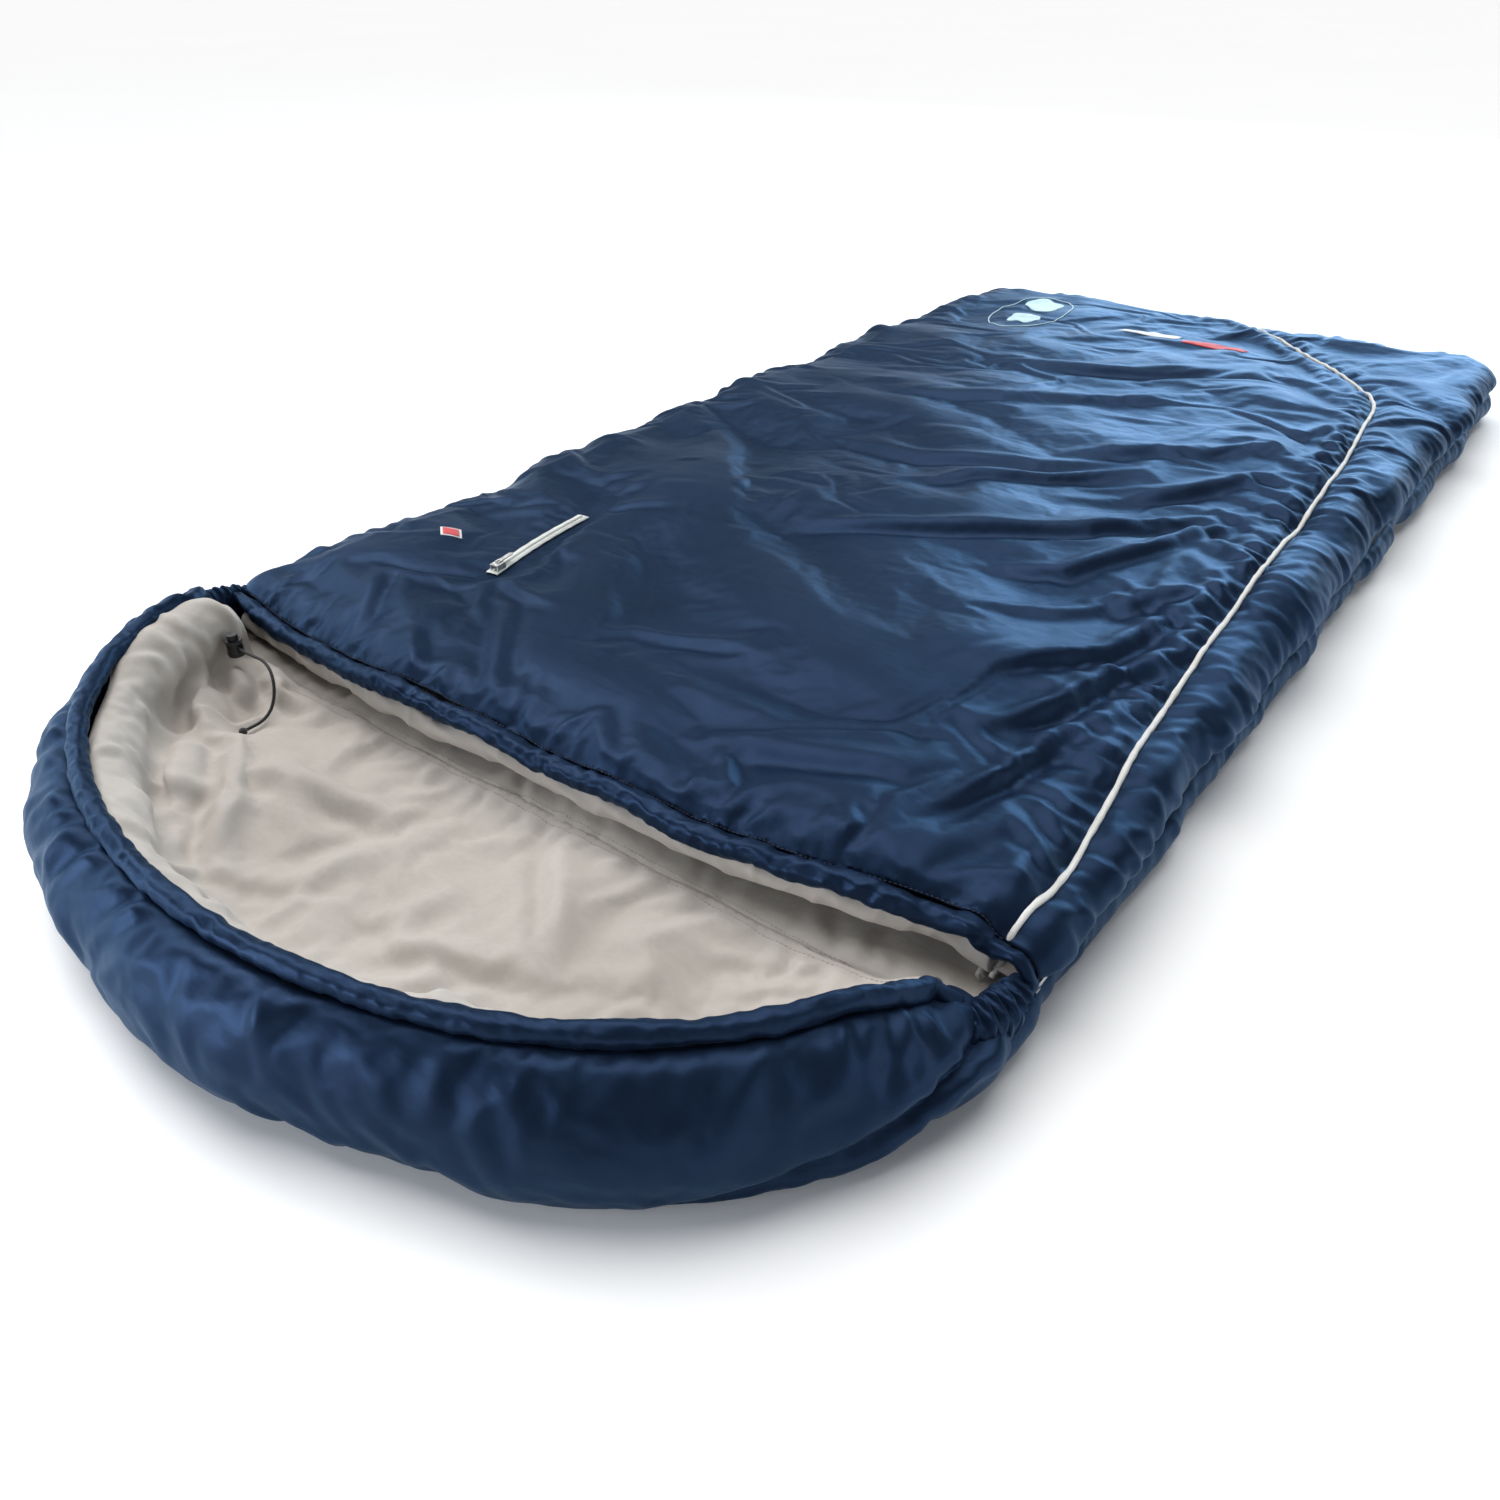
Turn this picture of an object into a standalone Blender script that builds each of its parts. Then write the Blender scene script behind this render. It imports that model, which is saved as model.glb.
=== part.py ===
"""Hooded rectangular sleeping bag, laid flat, as separate sewn and moulded pieces.

The bottom half lies on the floor, the hood continues it past the neck, and the cover lies on top.
The cover opens about the folded side (-X); the zip runs down the +X side and across the foot.
Frame: +Z up, +Y towards the foot, origin at the middle of the footprint. Metres.
"""

import math

import bmesh
import bpy
from mathutils import Matrix, Vector

# Outline
HALF_WIDTH = 0.475
FOOT_Y = 1.08
HOOD_TIP_Y = -1.08
HEM_Y = -0.700
NECK_Y = -0.735
CORNER_RADIUS = 0.075
CORNER_STEPS = 6
HOOD_STEPS = 36
GAP = 0.0003

# Heights
SEAM_Z = 0.050
QUILT_TOP_Z = 0.0335
LINING_Z = 0.0340
LINING_THICKNESS = 0.0015
SHELL_THICKNESS = 0.002
COVER_LINING_Z = 0.0625
COVER_TOP_Z = 0.100
RIM_Z = 0.1175
RIM_INSET = 0.050
HEM_LENGTH = 2 * HALF_WIDTH - 0.08
HEM_DEPTH = 0.011

# Side walls as (inset from the outline, height), from the floor or the seam outwards
BOTTOM_WALL = [(0.030, 0.0), (0.008, 0.010), (0.0, 0.026), (0.003, 0.0435)]
BOTTOM_FILL = [(0.033, 0.0025), (0.012, 0.0125), (0.0035, 0.026), (0.020, QUILT_TOP_Z)]
COVER_WALL = [(0.003, 0.0565), (0.0, 0.070), (0.014, 0.088), (0.045, 0.096), (0.100, COVER_TOP_Z)]
COVER_FILL = [(0.020, 0.0650), (0.0045, 0.070), (0.019, 0.0855), (0.048, 0.0925), (0.100, 0.0945)]
HOOD_WALL = [(0.030, 0.0), (0.008, 0.014), (0.0, 0.045), (0.008, 0.080), (0.028, 0.103), (0.042, 0.109)]
HOOD_SLAB = [(0.036, 0.0028), (0.011, 0.0175), (0.0062, QUILT_TOP_Z)]
HOOD_PAD = [(0.008, 0.0345), (0.0038, 0.045), (0.0135, 0.077), (0.030, 0.098), (0.042, 0.101),
            (0.050, 0.097), (0.074, 0.076), (0.101, 0.049), (0.117, 0.0345)]
HOOD_LINING = [(0.124, LINING_Z), (0.110, 0.052), (0.083, 0.080), (0.061, 0.101), (0.059, 0.105)]

# The hood's wall is lower beside the neck, so that the hood can lift clear of the cover. On the
# right, where the zip ends, it falls further and more gently.
TAPER_LENGTH = 0.030
TAPER_LEAST = 0.55
RIGHT_TAPER_LENGTH = 0.115
RIGHT_TAPER_LEAST = 0.42
TAPER_STEPS = 4
TAPER_BASE_Z = 0.040
HOOD_FRONT_Y = NECK_Y - 0.0015

# Zip: tapes stand on edge in the side, the two rows of teeth face each other at the seam
ZIP_INSET = 0.0095
TAPE_THICKNESS = 0.0008
TAPE_HEIGHT = 0.011
TEETH_THICKNESS = 0.0022
TEETH_HEIGHT = 0.0030
ROW_GAP = 0.0016
ZIP_LEFT_X = -0.390
NECK_STOP = (0.0030, 0.0028, 0.0034)
FOOT_STOP = (0.005, 0.0036, 0.006)
GARAGE = (0.012, 0.009, 0.013)
DRAFT_TUBE_WIDTH = 0.018
SLIDER_LENGTH = 0.014
SIDE_SLIDER_Y = -0.686
FOOT_SLIDER_X = -0.376

# Slider and pull, in the slider's own frame: X along the zip, Z out of the fabric
PLATE_WIDTH = 0.0105
PLATE_THICKNESS = 0.0012
PLATE_GAP = 0.0040
POST_THICKNESS = 0.0008
BAIL_SPAN = 0.0060
BAIL_THICKNESS = 0.0010
BAIL_WIDTH = 0.0016
BAIL_CLEAR = 0.0024
PULL_LENGTH = 0.026
PULL_WIDTH = 0.0050
PULL_THICKNESS = 0.0011
PULL_BAR = 0.0011
PULL_HOLE = (0.0042, 0.0026)
PULL_CHAMFER = 0.002

# Pocket zip on the cover
POCKET_CENTRE = (-0.266, -0.436)
POCKET_ANGLE = math.radians(9.5)
POCKET_LENGTH = 0.175
POCKET_TAPE_WIDTH = 0.013
POCKET_BAG = (0.150, 0.180, 0.002)
POCKET_BAG_PLACE = (-0.170, -0.436, 0.0963)
POCKET_TEETH = (0.167, 0.0045, 0.0016)
POCKET_SLIDER_REST = 0.012 - POCKET_LENGTH / 2

# Hood drawcord and its lock
TUNNEL_RADIUS = 0.0075
TUNNEL_BORE = 0.0055
CORD_RADIUS = 0.0016
CORD_CLEAR = 0.0030
TUNNEL_END = 0.026
LOCK_CENTRE = Vector((-0.364, -0.764, 0.080))
LOCK_RADIUS = 0.0078
LOCK_HEIGHT = 0.017
LOCK_BORE = 0.0056
LOCK_FLOOR = 0.0015
BUTTON_RADIUS = 0.0052
BUTTON_PROUD = 0.0060
BUTTON_TRAVEL = 0.0040
SPRING_HEIGHT = 0.0052
SPRING_RADIUS = 0.0036
SPRING_WIRE = 0.0004
SPRING_TURNS = 4
SPRING_STEPS = 12
ANCHOR_RADIUS = 0.0052
KNOT_RADIUS = 0.0040
# The loose tail: over the rim's gathers, down through the lock, and down to the hood's lining
TAIL_ROUTE = [(-0.4225, -0.7550, 0.1095), (-0.4150, -0.7520, 0.1065), (-0.4060, -0.7550, 0.0990),
              (-0.3950, -0.7605, 0.0895), (-0.3860, -0.7640, 0.0825), (-0.3770, -0.7640, 0.0800),
              (-0.3640, -0.7640, 0.0800), (-0.3350, -0.7640, 0.0800), (-0.3160, -0.7640, 0.0800),
              (-0.3000, -0.7680, 0.0740), (-0.2900, -0.7750, 0.0610), (-0.2850, -0.7850, 0.0480),
              (-0.2830, -0.7980, 0.0414), (-0.2830, -0.8150, 0.0403)]

# Trim on the cover
PIPING_RADIUS = 0.0027
PIPING_ROUTE = [(0.440, -0.696), (0.449, -0.620), (0.440, -0.520), (0.424, -0.360), (0.412, -0.120),
                (0.402, 0.130), (0.390, 0.360), (0.371, 0.560), (0.346, 0.714), (0.237, 0.859),
                (0.140, 0.973), (0.080, 1.030), (0.045, 1.062)]
BADGE_CENTRE = (-0.361, -0.482)
BADGE_SIZE = (0.036, 0.030)
TRIM_THICKNESS = 0.0008
FOOT_BAR = (0.115, 0.024)
FOOT_BAR_WHITE = (-0.060, 0.850)
FOOT_BAR_RED = (0.060, 0.838)
PRINT_CENTRE = (-0.292, 0.868)
PRINT_RADII = (0.055, 0.110)
PRINT_SIDES = 32


def reset_scene():
    for old in list(bpy.data.objects):
        bpy.data.objects.remove(old, do_unlink=True)
    parts = bpy.data.collections.new("sleeping_bag")
    cutters = bpy.data.collections.new("cutters")
    bpy.context.scene.collection.children.link(parts)
    bpy.context.scene.collection.children.link(cutters)
    return parts, cutters


PARTS, CUTTERS = reset_scene()


def material(name, colour, roughness, metallic=0.0):
    made = bpy.data.materials.get(name) or bpy.data.materials.new(name)
    made.use_nodes = True
    shader = made.node_tree.nodes["Principled BSDF"]
    shader.inputs["Base Color"].default_value = (*colour, 1.0)
    shader.inputs["Roughness"].default_value = roughness
    shader.inputs["Metallic"].default_value = metallic
    return made


NAVY = material("navy_nylon", (0.020, 0.045, 0.130), 0.45)
LINING = material("beige_cotton", (0.52, 0.47, 0.41), 0.85)
PADDING = material("white_padding", (0.85, 0.85, 0.85), 0.9)
ZIP_TAPE = material("navy_zip_tape", (0.015, 0.030, 0.080), 0.7)
ZIP_TEETH = material("dark_nylon_teeth", (0.02, 0.03, 0.06), 0.4)
METAL = material("grey_metal", (0.55, 0.56, 0.58), 0.3, 1.0)
PALE_TRIM = material("pale_grey_trim", (0.70, 0.69, 0.66), 0.6)
BLACK = material("black_plastic", (0.01, 0.01, 0.012), 0.35)
STEEL = material("spring_steel", (0.6, 0.6, 0.62), 0.25, 1.0)
RED = material("red_trim", (0.60, 0.03, 0.04), 0.6)
ICE = material("pale_blue_print", (0.55, 0.72, 0.76), 0.6)


def add(name, mesh, slot, where=None):
    obj = bpy.data.objects.new(name, mesh)
    mesh.materials.append(slot)
    PARTS.objects.link(obj)
    if where is not None:
        obj.matrix_world = where
    return obj


def from_bmesh(name, bm, slot, where=None):
    bmesh.ops.recalc_face_normals(bm, faces=bm.faces)
    mesh = bpy.data.meshes.new(name)
    bm.to_mesh(mesh)
    bm.free()
    return add(name, mesh, slot, where)


def box(name, size, slot, where, bevel=0.0):
    bm = bmesh.new()
    bmesh.ops.create_cube(bm, size=1.0, matrix=Matrix.Diagonal((*size, 1.0)))
    obj = from_bmesh(name, bm, slot, where)
    if bevel:
        rounding = obj.modifiers.new("rounded_edges", "BEVEL")
        rounding.width = bevel
        rounding.segments = 2
    return obj


def cylinder_into(bm, radius, height, where, sides=24):
    bmesh.ops.create_cone(
        bm, cap_ends=True, segments=sides, radius1=radius, radius2=radius, depth=height, matrix=where
    )


def cut(obj, bm, name):
    """Subtract a bmesh from an object, as a hidden cutter and a Boolean modifier."""
    mesh = bpy.data.meshes.new(name)
    bmesh.ops.recalc_face_normals(bm, faces=bm.faces)
    bm.to_mesh(mesh)
    bm.free()
    cutter = bpy.data.objects.new(name, mesh)
    cutter.hide_render = True
    cutter.display_type = "WIRE"
    CUTTERS.objects.link(cutter)
    modifier = obj.modifiers.new(name, "BOOLEAN")
    modifier.operation = "DIFFERENCE"
    modifier.object = cutter


def join_ring(bm, first, second, closed):
    count = len(first)
    for i in range(count if closed else count - 1):
        j = (i + 1) % count
        bm.faces.new((first[i], first[j], second[j], second[i]))


def stack(name, rings, slot):
    """A closed solid through closed rings, with a flat cap on the first and the last."""
    bm = bmesh.new()
    rows = [[bm.verts.new(point) for point in ring] for ring in rings]
    bm.faces.new(rows[0])
    for below, above in zip(rows, rows[1:]):
        join_ring(bm, below, above, closed=True)
    bm.faces.new(rows[-1])
    return from_bmesh(name, bm, slot)


def tray(name, rings, slot, thickness, open_at_last=True):
    """A thin shell: a flat panel on the first or last ring, and walls on its three outer sides."""
    bm = bmesh.new()
    rows = [[bm.verts.new(point) for point in ring] for ring in rings]
    bm.faces.new(rows[0] if open_at_last else rows[-1])
    for below, above in zip(rows, rows[1:]):
        join_ring(bm, below, above, closed=False)
    obj = from_bmesh(name, bm, slot)
    skin = obj.modifiers.new("fabric", "SOLIDIFY")
    skin.thickness = thickness
    skin.offset = -1.0
    return obj


def pipe(name, centres, outer, inner, slot, sides=10):
    """A tube with an open bore along a route."""
    bm = bmesh.new()
    rows = []
    for radius in (outer, inner):
        rows.append([[bm.verts.new(p) for p in ring] for ring in circles(centres, radius, sides)])
    for row in rows:
        for a, b in zip(row, row[1:]):
            join_ring(bm, a, b, closed=True)
    for end in (0, -1):
        join_ring(bm, rows[0][end], rows[1][end], closed=True)
    return from_bmesh(name, bm, slot)


def circles(centres, radius, sides):
    for i, centre in enumerate(centres):
        ahead = centres[min(i + 1, len(centres) - 1)] - centres[max(i - 1, 0)]
        side = ahead.cross(Vector((0, 0, 1))).normalized()
        up = side.cross(ahead).normalized()
        turns = [2 * math.pi * k / sides for k in range(sides)]
        yield [centre + radius * (math.cos(t) * side + math.sin(t) * up) for t in turns]


def wire(name, route, radius, slot, resolution=2):
    curve = bpy.data.curves.new(name, "CURVE")
    curve.dimensions = "3D"
    curve.bevel_depth = radius
    curve.bevel_resolution = resolution
    curve.use_fill_caps = True
    spline = curve.splines.new("POLY")
    spline.points.add(len(route) - 1)
    for point, place in zip(spline.points, route):
        point.co = (*place, 1.0)
    return add(name, curve, slot)


def smooth_route(points, step):
    """Points a step apart on a smooth curve through the given points."""
    ends = [2 * points[0] - points[1], *points, 2 * points[-1] - points[-2]]
    route = []
    for a, b, c, d in zip(ends, ends[1:], ends[2:], ends[3:]):
        count = max(2, round((c - b).length / step))
        for k in range(count):
            t = k / count
            route.append(0.5 * (2 * b + (c - a) * t + (2 * a - 5 * b + 4 * c - d) * t**2
                                + (3 * b - a - 3 * c + d) * t**3))
    return [*route, points[-1]]


def flat_outline(name, loops, thickness, slot, where):
    """A flat piece from a closed outline and any holes in it."""
    curve = bpy.data.curves.new(name, "CURVE")
    curve.dimensions = "2D"
    curve.fill_mode = "BOTH"
    curve.extrude = thickness / 2
    for loop in loops:
        spline = curve.splines.new("POLY")
        spline.points.add(len(loop) - 1)
        for point, (x, y) in zip(spline.points, loop):
            point.co = (x, y, 0.0, 1.0)
        spline.use_cyclic_u = True
    return add(name, curve, slot, where)


# Outlines


def body_edge(inset, near_y, z):
    """From the near left corner round the foot to the near right corner."""
    half = HALF_WIDTH - inset
    foot = FOOT_Y - inset
    radius = max(CORNER_RADIUS - inset, 0.012)
    points = [Vector((-half, near_y, z))]
    for centre_x, start in ((-half + radius, math.pi), (half - radius, math.pi / 2)):
        for step in range(CORNER_STEPS + 1):
            turn = start - step * math.pi / 2 / CORNER_STEPS
            points.append(
                Vector((centre_x + radius * math.cos(turn), foot - radius + radius * math.sin(turn), z))
            )
    points.append(Vector((half, near_y, z)))
    return points


def hood_point(turn, inset, z):
    """A place on the hood: an angle round its half ellipse, an inset and a height."""
    depth = HOOD_FRONT_Y - HOOD_TIP_Y
    edge = Vector((HALF_WIDTH * math.cos(turn), -depth * math.sin(turn), 0.0))
    outward = Vector((depth * math.cos(turn), -HALF_WIDTH * math.sin(turn), 0.0)).normalized()
    place = edge - inset * outward
    length, least = TAPER_LENGTH, TAPER_LEAST
    if edge.x > 0:
        length, least = RIGHT_TAPER_LENGTH, RIGHT_TAPER_LEAST
    share = min(1.0, least + (1 - least) * -edge.y / length)
    height = z if z < TAPER_BASE_Z else TAPER_BASE_Z + (z - TAPER_BASE_Z) * share
    return Vector((place.x, HOOD_FRONT_Y + place.y, height))


def hood_turns(from_end=0.0):
    """Angles round the hood, closer together in the taper, from from_end behind its front."""
    depth = HOOD_FRONT_Y - HOOD_TIP_Y
    taper = [math.asin(TAPER_LENGTH * k / TAPER_STEPS / depth) for k in range(TAPER_STEPS)]
    first = math.asin(TAPER_LENGTH / depth)
    turns = [first + (math.pi - 2 * first) * k / HOOD_STEPS for k in range(HOOD_STEPS + 1)]
    turns = [*taper, *turns, *(math.pi - turn for turn in reversed(taper))]
    start = math.asin(from_end / depth)
    return [start, *(turn for turn in turns if start < turn < math.pi - start), math.pi - start]


def hood_edge(inset, z):
    return [hood_point(turn, inset, z) for turn in hood_turns()]


def cover_height(x, y):
    """Height of the cover's outer face, from the profile of its side."""
    inset = min(HALF_WIDTH - abs(x), FOOT_Y - y)
    for (in_a, z_a), (in_b, z_b) in zip(COVER_WALL[1:], COVER_WALL[2:]):
        if inset <= in_b:
            return z_a + (z_b - z_a) * (inset - in_a) / (in_b - in_a)
    return COVER_TOP_Z


# Bottom half


def make_bottom():
    front = NECK_Y
    tray("bottom_shell", [body_edge(i, front, z) for i, z in BOTTOM_WALL], NAVY, SHELL_THICKNESS)
    stack("bottom_padding", [body_edge(i, front, z) for i, z in BOTTOM_FILL], PADDING)
    slab = [body_edge(0.024, front, z) for z in (LINING_Z, LINING_Z + LINING_THICKNESS)]
    stack("bottom_lining", slab, LINING)


def make_cover():
    shell = [body_edge(i, HEM_Y, z) for i, z in COVER_WALL]
    tray("cover_shell", shell, NAVY, SHELL_THICKNESS, open_at_last=False)
    stack("cover_padding", [body_edge(i, HEM_Y, z) for i, z in COVER_FILL], PADDING)
    slab = [body_edge(0.024, HEM_Y, z) for z in (COVER_LINING_Z, COVER_LINING_Z + LINING_THICKNESS)]
    stack("cover_lining", slab, LINING)
    hem_height = COVER_TOP_Z - COVER_LINING_Z
    hem_middle = (COVER_TOP_Z + COVER_LINING_Z) / 2
    hem_place = Matrix.Translation((0, HEM_Y - GAP - HEM_DEPTH / 2, hem_middle))
    box("cover_hem_tunnel", (HEM_LENGTH, HEM_DEPTH, hem_height), NAVY, hem_place, bevel=0.004)


# Hood


def make_hood():
    tray("hood_shell", [hood_edge(i, z) for i, z in HOOD_WALL], NAVY, SHELL_THICKNESS)
    stack("hood_floor_padding", [hood_edge(i, z) for i, z in HOOD_SLAB], PADDING)
    sections = [[hood_point(turn, i, z) for i, z in HOOD_PAD] for turn in hood_turns()]
    stack("hood_wall_padding", sections, PADDING)
    tray("hood_lining", [hood_edge(i, z) for i, z in HOOD_LINING], LINING, LINING_THICKNESS)
    rim = [hood_point(turn, RIM_INSET, RIM_Z) for turn in hood_turns(TUNNEL_END)]
    pipe("hood_rim_tunnel", rim, TUNNEL_RADIUS, TUNNEL_BORE, NAVY)
    return rim


# Zip


def zip_edge(z, inset=ZIP_INSET):
    """The zip's line, from the foot's left corner to the right side's neck end."""
    edge = body_edge(inset, HEM_Y + 0.004, z)
    edge = edge[CORNER_STEPS + 2:]
    return [Vector((ZIP_LEFT_X, edge[0].y, z)), *edge]


def strip(name, low, high, thickness, slot):
    """An upright band of constant thickness along the zip's line."""
    inner = ZIP_INSET + thickness / 2
    outer = ZIP_INSET - thickness / 2
    corners = ((inner, low), (outer, low), (outer, high), (inner, high))
    edges = [zip_edge(z, inset) for inset, z in corners]
    stack(name, [list(section) for section in zip(*edges)], slot)


def make_main_zip():
    half = ROW_GAP / 2
    for name, side in (("lower", -1), ("upper", 1)):
        teeth = sorted((SEAM_Z + side * half, SEAM_Z + side * (half + TEETH_HEIGHT)))
        strip(f"zip_teeth_{name}", *teeth, TEETH_THICKNESS, ZIP_TEETH)
        near = SEAM_Z + side * (half + TEETH_HEIGHT + GAP)
        strip(f"zip_tape_{name}", *sorted((near, near + side * TAPE_HEIGHT)), TAPE_THICKNESS, ZIP_TAPE)
        middle = SEAM_Z + side * (half + NECK_STOP[2] / 2)
        place = Matrix.Translation((HALF_WIDTH - ZIP_INSET, HEM_Y + 0.0022, middle))
        box(f"zip_neck_stop_{name}", NECK_STOP, METAL, place, bevel=0.0005)
    retainer = Matrix.Translation((ZIP_LEFT_X - 0.003, FOOT_Y - ZIP_INSET, SEAM_Z - 0.0035))
    box("zip_foot_stop", FOOT_STOP, METAL, retainer, bevel=0.0006)


def slider_blocks(low_plate):
    """The slider's body in its own frame: plates either side of the teeth, a post and a bail."""
    top = PLATE_GAP / 2 + PLATE_THICKNESS / 2
    pieces = [((0, 0, top), (SLIDER_LENGTH, PLATE_WIDTH, PLATE_THICKNESS))]
    if low_plate:
        pieces.append(((0, 0, -top), (SLIDER_LENGTH, PLATE_WIDTH, PLATE_THICKNESS)))
        pieces.append(((0, 0, 0), (SLIDER_LENGTH * 0.6, POST_THICKNESS, PLATE_GAP + PLATE_THICKNESS)))
    else:
        for side in (-1, 1):
            wall = (0, side * (PLATE_WIDTH - PLATE_THICKNESS) / 2, -PLATE_THICKNESS / 2)
            pieces.append((wall, (SLIDER_LENGTH, PLATE_THICKNESS, PLATE_GAP + PLATE_THICKNESS)))
    face = PLATE_GAP / 2 + PLATE_THICKNESS
    leg = BAIL_CLEAR + BAIL_THICKNESS
    for side in (-1, 1):
        x = side * (BAIL_SPAN - BAIL_THICKNESS) / 2
        size = (BAIL_THICKNESS, BAIL_WIDTH, leg + PLATE_THICKNESS)
        pieces.append(((x, 0, face + (leg - PLATE_THICKNESS) / 2), size))
    bridge = (BAIL_SPAN, BAIL_WIDTH, BAIL_THICKNESS)
    pieces.append(((0, 0, face + BAIL_CLEAR + BAIL_THICKNESS / 2), bridge))
    return pieces


def make_slider(name, where, low_plate=True):
    """Blocks united into one solid by Boolean unions."""
    body = None
    for number, (centre, size) in enumerate(slider_blocks(low_plate)):
        bm = bmesh.new()
        shape = Matrix.Translation(centre) @ Matrix.Diagonal((*size, 1.0))
        bmesh.ops.create_cube(bm, size=1.0, matrix=shape)
        if body is None:
            body = from_bmesh(name, bm, METAL, where)
            continue
        mesh = bpy.data.meshes.new(f"{name}_block_{number}")
        bm.to_mesh(mesh)
        bm.free()
        block = bpy.data.objects.new(mesh.name, mesh)
        block.matrix_world = where
        block.hide_render = True
        block.display_type = "WIRE"
        CUTTERS.objects.link(block)
        union = body.modifiers.new(mesh.name, "BOOLEAN")
        union.operation = "UNION"
        union.object = block
    return body


def make_pull(name, where):
    """A flat tab whose end bar passes under the bail; its origin is on the bar's axis."""
    half = PULL_WIDTH / 2
    back = PULL_BAR / 2
    tip = PULL_LENGTH
    outline = [(-back, -half), (tip - PULL_CHAMFER, -half), (tip, -half + PULL_CHAMFER),
               (tip, half - PULL_CHAMFER), (tip - PULL_CHAMFER, half), (-back, half)]
    far, reach = PULL_HOLE[0], PULL_HOLE[1] / 2
    hole = [(back, -reach), (back, reach), (far, reach), (far, -reach)]
    lift = PLATE_GAP / 2 + PLATE_THICKNESS + BAIL_CLEAR / 2
    axis = where @ Matrix.Translation((0, 0, lift))
    return flat_outline(name, [outline, hole], PULL_THICKNESS, METAL, axis)


def axes(along, out, place):
    """A frame with X along the zip and Z out of the fabric."""
    along = Vector(along)
    out = Vector(out)
    across = out.cross(along)
    frame = Matrix((along, across, out)).transposed().to_4x4()
    return Matrix.Translation(place) @ frame


def make_sliders():
    side = axes((0, 1, 0), (1, 0, 0), (HALF_WIDTH - ZIP_INSET, SIDE_SLIDER_Y, SEAM_Z))
    make_slider("side_zip_slider", side)
    make_pull("side_zip_pull", side)
    foot = axes((1, 0, 0), (0, 1, 0), (FOOT_SLIDER_X, FOOT_Y - ZIP_INSET, SEAM_Z))
    make_slider("foot_zip_slider", foot)
    make_pull("foot_zip_pull", foot)


def make_pocket():
    turn = Matrix.Rotation(POCKET_ANGLE + math.pi / 2, 4, "Z")

    def at(along, height):
        return Matrix.Translation((*POCKET_CENTRE, height)) @ turn @ Matrix.Translation((along, 0, 0))

    surface = COVER_TOP_Z + GAP
    tape_size = (POCKET_LENGTH, POCKET_TAPE_WIDTH, TRIM_THICKNESS)
    box("pocket_zip_tape", tape_size, PALE_TRIM, at(0, surface + TRIM_THICKNESS / 2))
    teeth = surface + TRIM_THICKNESS + GAP + POCKET_TEETH[2] / 2
    box("pocket_zip_teeth", POCKET_TEETH, PALE_TRIM, at(0, teeth))
    slider_height = surface + TRIM_THICKNESS + GAP + PLATE_GAP / 2 + PLATE_THICKNESS
    near = at(POCKET_SLIDER_REST, slider_height)
    make_slider("pocket_zip_slider", near, low_plate=False)
    make_pull("pocket_zip_pull", near)
    box("pocket_bag", POCKET_BAG, LINING, Matrix.Translation(POCKET_BAG_PLACE), bevel=0.0006)


def make_inner_trim():
    x = HALF_WIDTH - 0.045
    height = COVER_LINING_Z - LINING_Z - LINING_THICKNESS - 0.003
    size = (DRAFT_TUBE_WIDTH, FOOT_Y - 0.09 - HEM_Y, height)
    place = (x, HEM_Y + size[1] / 2 + 0.005, LINING_Z + LINING_THICKNESS + GAP + height / 2)
    box("zip_draft_tube", size, LINING, Matrix.Translation(place), bevel=0.007)
    garage = Matrix.Translation((HALF_WIDTH - 0.012, HEM_Y - 0.0065, SEAM_Z))
    box("zip_garage", GARAGE, LINING, garage, bevel=0.003)


# Drawcord


def ball(name, radius, slot, where):
    bm = bmesh.new()
    bmesh.ops.create_uvsphere(bm, u_segments=16, v_segments=10, radius=radius)
    from_bmesh(name, bm, slot, Matrix.Translation(where))


def make_drawcord(rim):
    wire("hood_drawcord", rim, CORD_RADIUS, BLACK)
    outward = (rim[0] - rim[1]).normalized()
    ball("drawcord_anchor", ANCHOR_RADIUS, BLACK, rim[0] + outward * (ANCHOR_RADIUS + GAP))

    start = rim[-1] + (rim[-1] - rim[-2]).normalized() * 2 * CORD_RADIUS
    tail = [start, *(Vector(point) for point in TAIL_ROUTE)]
    wire("drawcord_tail", smooth_route(tail, 0.004), CORD_RADIUS, BLACK)
    ahead = (tail[-1] - tail[-2]).normalized()
    ball("drawcord_knot", KNOT_RADIUS, BLACK, tail[-1] + ahead * (KNOT_RADIUS + GAP))


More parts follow.
